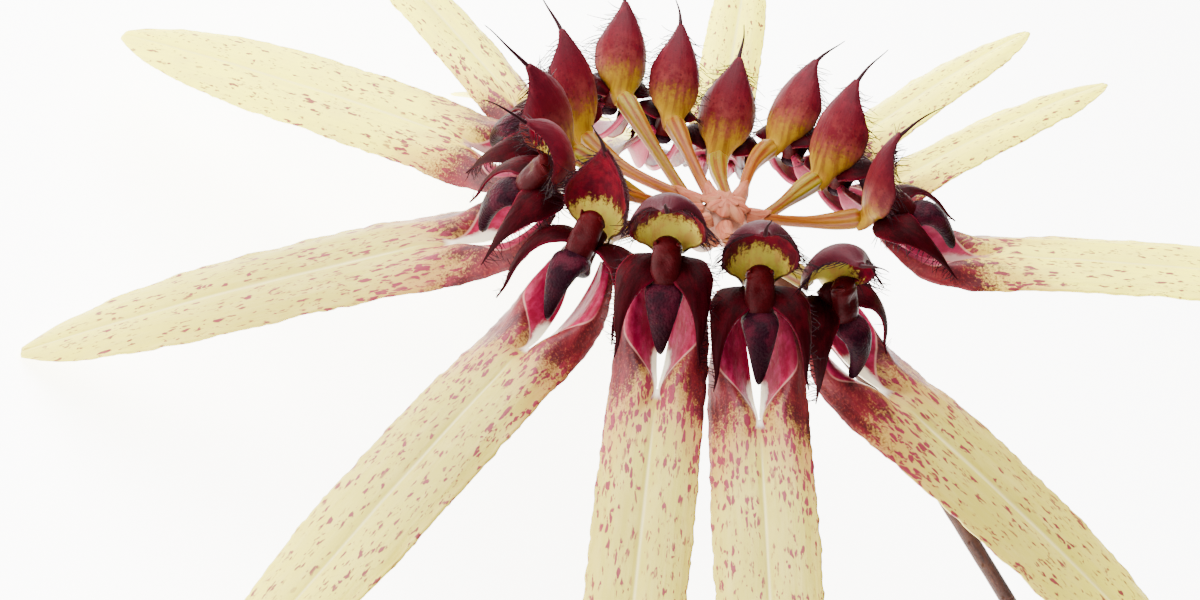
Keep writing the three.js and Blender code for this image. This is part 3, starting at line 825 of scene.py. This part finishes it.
MIDDLE_UP = ((0, -0.7), (9.5, -0.7), (12.5, -0.05), (17, -0.05))
SLIT_SHARE = 1 / 3
RIDGE_SHARE = 2 / 3
STRAP_UP = ((0, MIDDLE_UP), (SLIT_SHARE, EDGE_UP), (RIDGE_SHARE, RIDGE_UP), (1, MARGIN_UP))

STRAP_START = (0.9, 0, -1.35)
STRAP_TAPER = ((0, 1), (0.62, 1), (0.78, 0.86), (0.88, 0.66), (0.95, 0.42), (1, 0.14))
GROOVE_DEPTH = 0.16      # of the groove along the middle, past the slit
GROOVE_WIDTH = 0.09      # as a share of the half width
SWELL = 0.10             # slow rise and fall of the blade


def strap_surface(settings, flower, index):
    """The joined lateral sepals of one flower, and their length."""
    full = settings.length / MM * flower["strap"]
    droop = flower["droop"]
    slopes = ((0, -settings.start_slope), (settings.fold / MM, -droop), (full, -droop - settings.arch))
    line = fold_line(STRAP_START, full, lambda s: along_line(s, slopes))
    breadth = flower["breadth"]
    ripple = settings.ripple / MM

    def surface(across, along):
        distance = along * full
        side = 1 if across >= 0.5 else -1
        off = abs(2 * across - 1)
        width = along_curve(along, STRAP_TAPER) * breadth
        flat = min(1.0, width)
        spread = max(width, flat / min(1.0, breadth))
        out = along_curve(off, ((0, 0.0), (SLIT_SHARE, along_curve(distance, EDGE_OUT) * spread),
                                (RIDGE_SHARE, along_curve(distance, RIDGE_OUT) * width),
                                (1, along_curve(distance, MARGIN_OUT) * width)))
        up = along_curve(off, [(share, along_curve(distance, ups) * flat) for share, ups in STRAP_UP])
        rim = ease(off, 0.8, 1.0)
        scallop = waver(distance * 0.9, side * 5.0, index * 3.7)
        scallop += 0.6 * waver(distance * 2.3, side * 9.0, index * 5.1)
        out += rim * ripple * scallop * width
        up += rim * 1.6 * ripple * waver(distance * 0.35, side * 3.0, index * 2.3 + 20)
        joined = ease(distance, 11.0, 15.0) * flat
        up -= GROOVE_DEPTH * joined * exp(-((off / GROOVE_WIDTH) ** 2))
        up += SWELL * joined * waver(distance * 0.12, out * 0.5 * side, index * 4.1)
        place, _, upward = line(distance)
        place = place + Vector((0, out * side, 0)) + upward * up
        return place, {"across_mm": out * side, "along_mm": distance, "share": along}

    return surface, full


def make_straps(settings):
    """The joined lateral sepals of every flower."""
    finish = strap_finish(settings)
    thickness = thinning(settings.thickness / MM, (0.6, 0.55), (0.5, 0.8))
    for index, flower in enumerate(FLOWERS):
        shape = Shape(flower_placing(flower), index)
        surface, full = strap_surface(settings, flower, index)
        slit = settings.slit / MM / full

        def joined_or_beside(across, along):
            return along > slit or abs(2 * across - 1) > SLIT_SHARE

        shape.blade(36, 150, surface, thickness, kept=joined_or_beside)
        settle(shape.object(label(index) + "_strap", [finish]), label(index) + "_lateral_sepals")


# ---- dorsal sepals --------------------------------------------------------------------------

# Along the hood: its width as a share, and how far it curls round, in degrees to each side.
HOOD_WIDTHS = ((0, 0.22), (0.1, 0.32), (0.22, 0.76), (0.38, 1), (0.54, 0.99), (0.71, 0.72),
               (0.84, 0.36), (0.93, 0.13), (1, 0))
HOOD_CURLS = ((0, 88), (0.12, 84), (0.28, 78), (0.5, 80), (0.78, 60), (1, 20))
HOOD_START = (-1.2, 0, 0.05)
HOOD_BASE = 1.7          # length of the bend out of the ovary's end
HOOD_BASE_SLOPE = 12     # degrees above level where that bend starts
HOOD_RISE = (80, 36, 20)  # degrees above level at the base, the tip and the bristle's end
NOD_GAIN = 1.3           # the tip bends over by this much of the nod
NOD_RETURN = 1.08        # share of it that the bristle bends back
NOD_SPAN = (0.45, 0.88, 1.06)  # shares of the hood where it nods, has nodded and is bent back
BRISTLE_HALF_WIDTH = 0.3
BRISTLE_START = 0.9      # share of the hood where the bristle leaves it
BRISTLE_RADIUS = (0.24, 0.045)  # of its taper and its tip


def hood_line(settings, flower):
    """The path of a hood and its bristle: out of the ovary's end, then up, and nodding at the tip."""
    body = HOOD_BASE + settings.length / MM
    total = body + settings.bristle / MM
    slopes = tuple((s, rise + flower["lift"]) for s, rise in zip((HOOD_BASE, body, total), HOOD_RISE))
    nod_from, nod_to, back_at = (share * body for share in NOD_SPAN)

    def slope_at(s):
        flat = (slopes[0][1] - HOOD_BASE_SLOPE) * (1 - ease(s, 0.0, HOOD_BASE))
        nod = NOD_GAIN * flower["nod"] * ease(s, nod_from, nod_to)
        nod *= 1 - NOD_RETURN * ease(s, nod_to, back_at)
        return along_line(s, slopes) - flat - nod

    return fold_line(HOOD_START, total, slope_at), body, total


def hood_surface(settings, flower, index):
    """The hooded blade of one dorsal sepal."""
    line, body, _ = hood_line(settings, flower)
    widest = settings.half_width / MM * flower["hood"]

    def surface(across, along):
        turn = 2 * across - 1
        half_width = BRISTLE_HALF_WIDTH + along_curve(along, HOOD_WIDTHS) * (widest - BRISTLE_HALF_WIDTH)
        curl = radians(along_curve(along, HOOD_CURLS))
        radius = half_width / sin(curl)
        place, _, upward = line(along * body)
        angle = turn * curl
        sideways = radius * sin(angle)
        inward = radius * (1 - cos(angle))
        rim = ease(abs(turn), 0.75, 1.0) * min(1.0, 4 * along * (1 - along))
        ruffle = waver(along * 9.0, turn * 4.0, index * 3.1)
        inward -= rim * 0.12 * ruffle
        sideways *= 1 + 0.03 * rim * ruffle
        place = place + Vector((0, sideways, 0)) - upward * inward
        return place, {"across_mm": turn * half_width, "along_mm": along * body, "share": along}

    return surface


def bristle_section(turn, share):
    """Radii of a bristle."""
    radius = (BRISTLE_RADIUS[0] * (1 - share) ** 1.6 + BRISTLE_RADIUS[1]) * rounded(share, 0.04, 0.02)
    return radius, radius * 0.8


def make_hoods(settings, hairs):
    """The dorsal sepal of every flower, with its bristle and hairs."""
    finishes = [hood_finish(settings), hair_finish(hairs)]
    thickness = thinning(settings.thickness / MM, (0.55, 0.5))
    for index, flower in enumerate(FLOWERS):
        shape = Shape(flower_placing(flower, 1.0), index)
        surface = hood_surface(settings, flower, index)
        shape.blade(32, 40, surface, thickness)
        line, body, total = hood_line(settings, flower)
        start = body * BRISTLE_START

        def bristle(share):
            place, forward, upward = line(start + share * (total - start))
            wave = 0.12 * sin(share * 7 + index) * share
            return place + Vector((0, wave, 0)) - upward * 0.08 * (1 - share), forward

        shape.tube(8, 24, bristle, bristle_section, material=1)
        grow_hairs(shape, surface, hairs, hairs.hood_count, index, (0.0, 1.0), (0.24, 0.93), 1)
        settle(shape.object(label(index) + "_hood", finishes), label(index) + "_dorsal_sepal")


# ---- hairs ----------------------------------------------------------------------------------

def grow_hairs(shape, surface, hairs, count, seed, edges, span, material, spread=0.6, trim=1.0):
    """Fine bent hairs on the margins of a blade, at edges across it and over a span along it.

    spread turns them sideways from the flower, trim scales their length.
    """
    chance = random.Random(seed * 17 + len(edges))
    longest = trim * hairs.length / MM
    root_radius = hairs.radius / MM

    def section(turn, share):
        radius = root_radius * (1 - 0.65 * share)
        return radius, radius

    for edge in edges:
        for hair in range(count):
            along = span[0] + (span[1] - span[0]) * (hair + chance.uniform(0.1, 0.9)) / count
            root = surface(edge, along)[0]
            inside = surface(abs(edge - 0.06), along)[0]
            ahead = surface(edge, min(along + 0.02, 1.0))[0]
            out = (root - inside).normalized()
            onward = (ahead - root).normalized()
            turned = out.cross(onward)
            sideways = Vector((0, copysign(spread, root.y), 0))
            direction = out + sideways + onward * chance.uniform(-0.5, 0.7)
            direction = (direction + turned * chance.uniform(-0.7, 0.7)).normalized()
            bend = onward * chance.uniform(-0.9, 0.9) + turned * chance.uniform(-0.9, 0.9)
            reach = longest * chance.uniform(0.35, 1.0)

            def path(share):
                place = root + direction * (reach * share) + bend * (reach * share * share * 0.5)
                return place, (direction + bend * share).normalized()

            shape.tube(3, 5, path, section, material=material, side=turned.normalized())


# ---- petals, column and lip -----------------------------------------------------------------

CENTRE_TWIST = 0.4       # share of the hood's twist that the centre follows
PETAL_PATH = ((0.9, 0.85, -0.1), (2.1, 1.95, 0.3), (3.4, 2.9, 0.0), (4.6, 3.5, -1.1),
              (5.5, 3.75, -2.6), (6.1, 3.8, -4.2), (6.6, 4.05, -5.3))
PETAL_WIDTHS = ((0, 0.9), (0.14, 1.7), (0.28, 1.6), (0.42, 1.05), (0.56, 0.62), (0.7, 0.34),
                (0.85, 0.13), (1, 0.03))
PETAL_LENGTH = 9.0
PETAL_CUP = 0.22         # depth of its hollow, as a share of its half width
PETAL_FACE = (0.5, 0.5, 0.7)
TOOTH_PATH = ((1.9, 0.75, 2.0), (2.25, 0.85, 2.6), (2.75, 0.8, 3.05))
COLUMN_PATH = ((3.7, 0, -1.2), (3.3, 0, -0.1), (2.7, 0, 1.1), (2.0, 0, 2.1), (1.3, 0, 2.5))
COLUMN_WIDE = ((0, 0.9), (0.35, 1.15), (0.68, 1.1), (0.82, 1.1), (1, 0.85))
COLUMN_HIGH = ((0, 0.8), (0.35, 1.0), (0.75, 1.0), (1, 0.8))
FOOT_PATH = ((0.5, 0, 0.9), (1.6, 0, 0.2), (2.2, 0, -1.3), (1.9, 0, -2.85))
LIP_PATH = ((1.55, 0, -2.6), (2.5, 0, -1.9), (3.6, 0, -0.85), (4.9, 0, -0.75), (5.8, 0, -1.7),
            (6.25, 0, -3.3), (6.3, 0, -5.2))
LIP_WIDE = ((0, 0.7), (0.25, 1.2), (0.42, 1.45), (0.6, 1.2), (0.8, 0.74), (0.93, 0.4), (1, 0.22))
LIP_HIGH = ((0, 0.5), (0.25, 0.8), (0.5, 0.95), (0.75, 0.75), (1, 0.35))


def petal_surface(side, spread):
    """One petal; side is 1 for the left one and -1 for the right one."""
    turn = Matrix.Rotation(radians(side * spread), 3, "Z")
    path = curve_through([turn @ Vector((x, side * y, z)) for x, y, z in PETAL_PATH])
    face = turn @ Vector((PETAL_FACE[0], PETAL_FACE[1] * side, PETAL_FACE[2]))

    def surface(across, along):
        place, forward = path(along)
        sideways = forward.cross(face).normalized()
        normal = sideways.cross(forward).normalized()
        half = along_curve(along, PETAL_WIDTHS)
        offset = 2 * across - 1
        cup = PETAL_CUP * half * (offset * offset - 0.35)
        place = place + sideways * (offset * half) - normal * cup
        return place, {"across_mm": offset * half, "along_mm": along * PETAL_LENGTH, "share": along}

    return surface


def column_section(turn, share):
    """Radii of the column, with the groove of its cap, the dimple under it and a flattened foot."""
    close = rounded(share, 0.2, 0.32)
    close *= 1 - 0.06 * exp(-(((share - 0.71) / 0.03) ** 2))
    close *= 1 - 0.3 * exp(-(((share - 0.52) / 0.11) ** 2) - ((turn - 0.75) / 0.09) ** 2)
    close *= 1 + 0.05 * cos(2 * turn * tau) * (1 - share)
    return along_curve(share, COLUMN_WIDE) * close, along_curve(share, COLUMN_HIGH) * close


def tooth_section(turn, share):
    """Radii of one of the column's two teeth."""
    radius = (0.32 * (1 - share) + 0.05) * rounded(share, 0.0, 0.1)
    return radius, radius


def foot_section(turn, share):
    """Radii of the column's foot."""
    close = rounded(share, 0.1, 0.15)
    return (1.1 - 0.35 * share) * close, (0.9 - 0.35 * share) * close


def lip_section(turn, share):
    """Radii of the lip, with the furrow along its upper side."""
    close = rounded(share, 0.06, 0.08)
    dip = 0.22 * max(0.0, sin(turn * tau)) * ease(share, 0.3, 0.5) * (1 - ease(share, 0.8, 1.0))
    return along_curve(share, LIP_WIDE) * close, along_curve(share, LIP_HIGH) * close * (1 - dip)


def make_centres(settings, hairs):
    """Column, foot, lip and petals of every flower."""
    finishes = [petal_finish(settings), column_finish(settings), lip_finish(settings), hair_finish(hairs)]
    thickness = thinning(settings.petal_thickness / MM, (0.55, 0.4), (0.6, 0.6))
    teeth = [curve_through([(x, side * y, z) for x, y, z in TOOTH_PATH]) for side in (1, -1)]
    rods = (
        (32, 48, curve_through(COLUMN_PATH), column_section, 1),
        *((8, 8, tooth, tooth_section, 1) for tooth in teeth),
        (16, 12, curve_through(FOOT_PATH), foot_section, 1),
        (24, 36, curve_through(LIP_PATH), lip_section, 2),
    )
    for index, flower in enumerate(FLOWERS):
        shape = Shape(flower_placing(flower, CENTRE_TWIST), index)
        for rod in rods:
            shape.tube(*rod)
        for side, spread in zip((1, -1), flower["petals"]):
            surface = petal_surface(side, spread)
            shape.blade(16, 36, surface, thickness)
            outer_edge = 0.0 if side > 0 else 1.0
            grow_hairs(shape, surface, hairs, hairs.petal_count, index * 5 + side, (outer_edge,),
                       (0.1, 0.97), 3, spread=0.4, trim=0.65)
        settle(shape.object(label(index) + "_heart", finishes), label(index) + "_centre")


# ---- pedicels, bracts and stalk -------------------------------------------------------------

HEAD_RADIUS = 2.1
ROOT_REACH = 2.35        # distance of a pedicel's root from the umbel's axis
ROOT_RISE = 0.85         # roots alternate this far above and below the head's middle
ROOT_PULL = 2.1          # how far out a pedicel runs straight on, in root reaches
OVARY_LENGTH = 4.8       # straight end of a pedicel, in line with its flower
OVARY_GAP = 0.3
PEDICEL_RIBS = 6
PEDICEL_SIZES = ((0, 1.1), (0.2, 0.95), (0.55, 1.05), (0.82, 1.6), (0.94, 1.75), (1, 1.5))

# Half the turn that a sheath takes round its pedicel, in radians.
SHEATH_WRAP = ((0, 2.0), (0.3, 1.8), (0.6, 1.1), (0.85, 0.5), (1, 0.06))
SHEATH_GAP = 0.17
# Scales over the head, ring by ring: how many, inner and outer reach, half their breadth.
SCALE_RINGS = ((4, 0.0, 1.1, 0.75), (8, 0.5, 2.2, 0.8))
SCALE_WIDTHS = ((0, 0.5), (0.35, 1.0), (0.7, 0.75), (1, 0.08))
SCALE_DOME = (2.3, 2.75)  # height and reach of the dome that the scales lie on
BRACT_THICKNESS = 0.15

STALK_STEPS = 20
STALK_BEND = (54, 36)    # degrees from the umbel's axis under the head and further down
STALK_BEND_LENGTH = 30.0
STALK_LEAN = -6


def pedicel_path(flower, index):
    """The path of one pedicel, from its root on the head to the end of its ovary."""
    place = flower_turn(flower)
    angle = radians(flower["root"])
    rise = ROOT_RISE if index % 2 == 0 else -ROOT_RISE
    root = Vector((ROOT_REACH * cos(angle), ROOT_REACH * sin(angle), rise))
    outward = Vector((root.x * ROOT_PULL, root.y * ROOT_PULL, root.z))
    behind = place @ Vector((-OVARY_LENGTH, 0, 0))
    end = place @ Vector((-OVARY_GAP, 0, 0))

    def path(t):
        s = 1 - t
        spot = root * s ** 3 + outward * (3 * s * s * t) + behind * (3 * s * t * t) + end * t ** 3
        forward = (outward - root) * s * s + (behind - outward) * (2 * s * t) + (end - behind) * t * t
        return spot, forward.normalized()

    return path


def make_pedicels(settings):
    """Pedicel and ovary of every flower."""
    olive, orange = pedicel_finish(settings, True), pedicel_finish(settings, False)
    thin = settings.pedicel_radius / MM

    def section(turn, share):
        radius = along_curve(share, PEDICEL_SIZES) * thin * rounded(share, 0.0, 0.06)
        radius *= 1 + (0.03 + 0.05 * ease(share, 0.4, 0.9)) * cos(PEDICEL_RIBS * turn * tau)
        radius *= rounded(share, 0.02, 0.0)
        return radius, radius

    for index, flower in enumerate(FLOWERS):
        shape = Shape(umbel_placing(), index)
        shape.tube(36, 60, pedicel_path(flower, index), section, side=(0, 0, 1))
        finish = orange if index % 2 == 0 else olive
        settle(shape.object(label(index) + "_stem", [finish]), label(index) + "_pedicel")


def sheath_surface(settings, flower, index):
    """A bract that wraps the upper side of a pedicel's root and runs out to a point."""
    chance = random.Random(index)
    path = pedicel_path(flower, index)
    end = chance.uniform(0.16, 0.32)
    lean = chance.uniform(-0.5, 0.5)
    thin = settings.pedicel_radius / MM

    def surface(across, along):
        place, forward = path(end * along)
        place -= forward * (0.5 * ease(along, 0.2, 0.0))
        sideways = forward.cross(Vector((0, 0, 1))).normalized()
        upward = sideways.cross(forward)
        angle = (2 * across - 1) * along_curve(along, SHEATH_WRAP) + lean
        radius = along_curve(end * along, PEDICEL_SIZES) * thin + SHEATH_GAP + 0.05 * cos(3 * angle)
        place = place + upward * (radius * cos(angle)) + sideways * (radius * sin(angle))
        return place, {"across_mm": radius * angle, "along_mm": 4 * along, "share": along}

    return surface


def scale_surface(turn, near, far, broad, chance):
    """A small scale that lies on the head like a tile."""
    spin = Matrix.Rotation(turn, 3, "Z")
    tilt = chance.uniform(0.0, 0.25)
    height, edge = SCALE_DOME

    def surface(across, along):
        offset = 2 * across - 1
        half = broad * along_curve(along, SCALE_WIDTHS)
        reach = near + (far - near) * along
        rise = height * sqrt(max(0.0, 1 - (reach / edge) ** 2)) + 0.12 + tilt * along * along
        place = spin @ Vector((reach, offset * half, rise - 0.5 * offset * offset * half))
        return place, {"across_mm": offset * half, "along_mm": reach, "share": 0.6 * along}

    return surface


def make_bracts(settings):
    """Papery scales over the head, and the bracts that sheathe the roots of the pedicels."""
    shape = Shape(umbel_placing())
    chance = random.Random(5)

    def thickness(across, along):
        return BRACT_THICKNESS * (1 - 0.5 * abs(2 * across - 1))

    for index, flower in enumerate(FLOWERS):
        shape.flower = index
        shape.blade(12, 16, sheath_surface(settings, flower, index), thickness)
    for count, near, far, broad in SCALE_RINGS:
        for place in range(count):
            shape.flower = place + count
            turn = (place + chance.uniform(-0.25, 0.25)) * tau / count + far
            reach = far * chance.uniform(0.8, 1.1)
            shape.blade(8, 10, scale_surface(turn, near, reach, broad, chance), thickness)
    settle(shape.object("bracts", [bract_finish(settings)]), "floral_bracts")


def make_stalk(settings):
    """The head and the stalk down to its cut."""
    finishes = [stalk_finish(settings), cut_finish(settings), head_finish()]
    step_length = settings.stalk_length / MM / STALK_STEPS
    lean = radians(STALK_LEAN)
    places = [Vector((0, 0, -0.6))]
    for i in range(STALK_STEPS):
        part = min(1.0, (i + 0.5) * step_length / STALK_BEND_LENGTH)
        bend = radians(STALK_BEND[0] + (STALK_BEND[1] - STALK_BEND[0]) * part)
        step = Vector((sin(lean) * cos(bend), sin(bend), -cos(lean) * cos(bend)))
        places.append(places[-1] + step * step_length)
    path = curve_through(places)
    top = settings.stalk_radius / MM
    radii = ((0, top), (0.5, top * 0.88), (1, top * 1.18))

    def section(turn, share):
        angle = turn * tau
        radius = along_curve(share, radii) * (1 + 0.03 * waver(cos(angle), sin(angle), share * 40))
        if share >= 1:
            radius *= 0.9
        return radius, radius

    shape = Shape(umbel_placing())
    shape.tube(24, 220, path, section, side=(1, 0, 0))
    cut = path(1.0)[0]
    rims = [edge for edge in shape.bm.edges if edge.is_boundary]
    for face in bmesh.ops.holes_fill(shape.bm, edges=rims)["faces"]:
        face.material_index = 1 if (face.calc_center_median() - cut).length < 1.0 else 0

    def head_path(share):
        return Vector((0, -HEAD_RADIUS + 2 * HEAD_RADIUS * share, 0)), Vector((0, 1, 0))

    def head_section(turn, share):
        radius = HEAD_RADIUS * sqrt(max(0.0, 1 - (2 * share - 1) ** 2))
        radius *= 1 + 0.02 * cos(13 * turn * tau)
        return radius, radius

    shape.tube(52, 24, head_path, head_section, material=2, side=(1, 0, 0))
    settle(shape.object("stalk", finishes), "peduncle")


# ---- stage ----------------------------------------------------------------------------------

def make_stage(settings):
    """Floor, lights and camera."""
    material = Finish("Floor").close(settings.floor, 0.9, specular=0.1, glow=8.0)
    bm = bmesh.new()
    bmesh.ops.create_grid(bm, x_segments=1, y_segments=1, size=settings.size / 2)
    mesh = bpy.data.meshes.new("floor")
    bm.to_mesh(mesh)
    bm.free()
    mesh.materials.append(material)
    floor = add_object("floor", mesh)

    world = bpy.data.worlds.new("Studio")
    bpy.context.scene.world = world
    world.use_nodes = True
    background = world.node_tree.nodes["Background"]
    background.inputs["Color"].default_value = (1.0, 1.0, 1.0, 1.0)
    background.inputs["Strength"].default_value = 0.3

    place = umbel_placing()
    for name, spot, energy, size in LIGHTS:
        light = bpy.data.lights.new(name, "AREA")
        light.energy = energy
        light.size = size
        lamp = add_object(name, light)
        lamp.location = place @ Vector(spot)
        aim = (place @ Vector((0, 0, 0)) - lamp.location).to_track_quat("-Z", "Y")
        lamp.rotation_euler = aim.to_euler()

    lens = bpy.data.cameras.new("camera")
    lens.lens = VIEW_LENS
    lens.sensor_width = 36.0
    lens.shift_x, lens.shift_y = VIEW_SHIFT
    lens.clip_start = 0.01
    camera = add_object("camera", lens)
    turn = Matrix([Vector(VIEW_RIGHT), Vector(VIEW_UP), Vector(VIEW_BACK)]).transposed()
    axes = place.to_3x3().normalized() @ turn
    spot = place @ (Vector(VIEW_BACK) * VIEW_DISTANCE)
    camera.matrix_world = Matrix.Translation(spot) @ axes.to_4x4()
    bpy.context.scene.camera = camera


# ---- operators and panel --------------------------------------------------------------------

class UMBEL_OT_carriers(bpy.types.Operator):
    """Build the stalk, the bracts and the pedicels"""

    bl_idname = "umbel.carriers"
    bl_label = "Stalk, bracts and pedicels"

    def execute(self, context):
        make_stalk(context.scene.umbel_carriers)
        make_bracts(context.scene.umbel_carriers)
        make_pedicels(context.scene.umbel_carriers)
        return {"FINISHED"}


class UMBEL_OT_straps(bpy.types.Operator):
    """Build the joined lateral sepals"""

    bl_idname = "umbel.straps"
    bl_label = "Lateral sepals"

    def execute(self, context):
        make_straps(context.scene.umbel_straps)
        return {"FINISHED"}


class UMBEL_OT_hoods(bpy.types.Operator):
    """Build the dorsal sepals with their bristles and hairs"""

    bl_idname = "umbel.hoods"
    bl_label = "Dorsal sepals"

    def execute(self, context):
        make_hoods(context.scene.umbel_hoods, context.scene.umbel_hairs)
        return {"FINISHED"}


class UMBEL_OT_centres(bpy.types.Operator):
    """Build the columns, lips and petals"""

    bl_idname = "umbel.centres"
    bl_label = "Columns, lips and petals"

    def execute(self, context):
        make_centres(context.scene.umbel_centres, context.scene.umbel_hairs)
        return {"FINISHED"}


class UMBEL_OT_stage(bpy.types.Operator):
    """Build the floor, the lights and the camera"""

    bl_idname = "umbel.stage"
    bl_label = "Floor, light and camera"

    def execute(self, context):
        make_stage(context.scene.umbel_stage)
        return {"FINISHED"}


GROUPS = {
    "umbel_carriers": CarrierSettings,
    "umbel_straps": StrapSettings,
    "umbel_hoods": HoodSettings,
    "umbel_centres": CentreSettings,
    "umbel_hairs": HairSettings,
    "umbel_stage": StageSettings,
}
OPERATORS = (UMBEL_OT_carriers, UMBEL_OT_straps, UMBEL_OT_hoods, UMBEL_OT_centres, UMBEL_OT_stage)


class UMBEL_PT_panel(bpy.types.Panel):
    """Sizes, colours and makers of the umbel"""

    bl_idname = "UMBEL_PT_panel"
    bl_label = "Orchid umbel"
    bl_space_type = "VIEW_3D"
    bl_region_type = "UI"
    bl_category = "Orchid umbel"

    def draw(self, context):
        for operator in OPERATORS:
            self.layout.operator(operator.bl_idname)
        for name in GROUPS:
            group = getattr(context.scene, name)
            box = self.layout.box()
            for key in group.bl_rna.properties.keys():
                if key not in ("rna_type", "name"):
                    box.prop(group, key)


def register():
    """Registers the settings, operators and panel."""
    for name, group in GROUPS.items():
        bpy.utils.register_class(group)
        setattr(bpy.types.Scene, name, PointerProperty(type=group))
    for item in (*OPERATORS, UMBEL_PT_panel):
        bpy.utils.register_class(item)


def unregister():
    """Takes them away again."""
    for item in reversed((*OPERATORS, UMBEL_PT_panel)):
        bpy.utils.unregister_class(item)
    for name, group in reversed(GROUPS.items()):
        delattr(bpy.types.Scene, name)
        bpy.utils.unregister_class(group)


def main():
    """Builds every piece and the stage."""
    register()
    bpy.ops.umbel.carriers()
    bpy.ops.umbel.straps()
    bpy.ops.umbel.hoods()
    bpy.ops.umbel.centres()
    bpy.ops.umbel.stage()


if __name__ == "__main__":
    main()
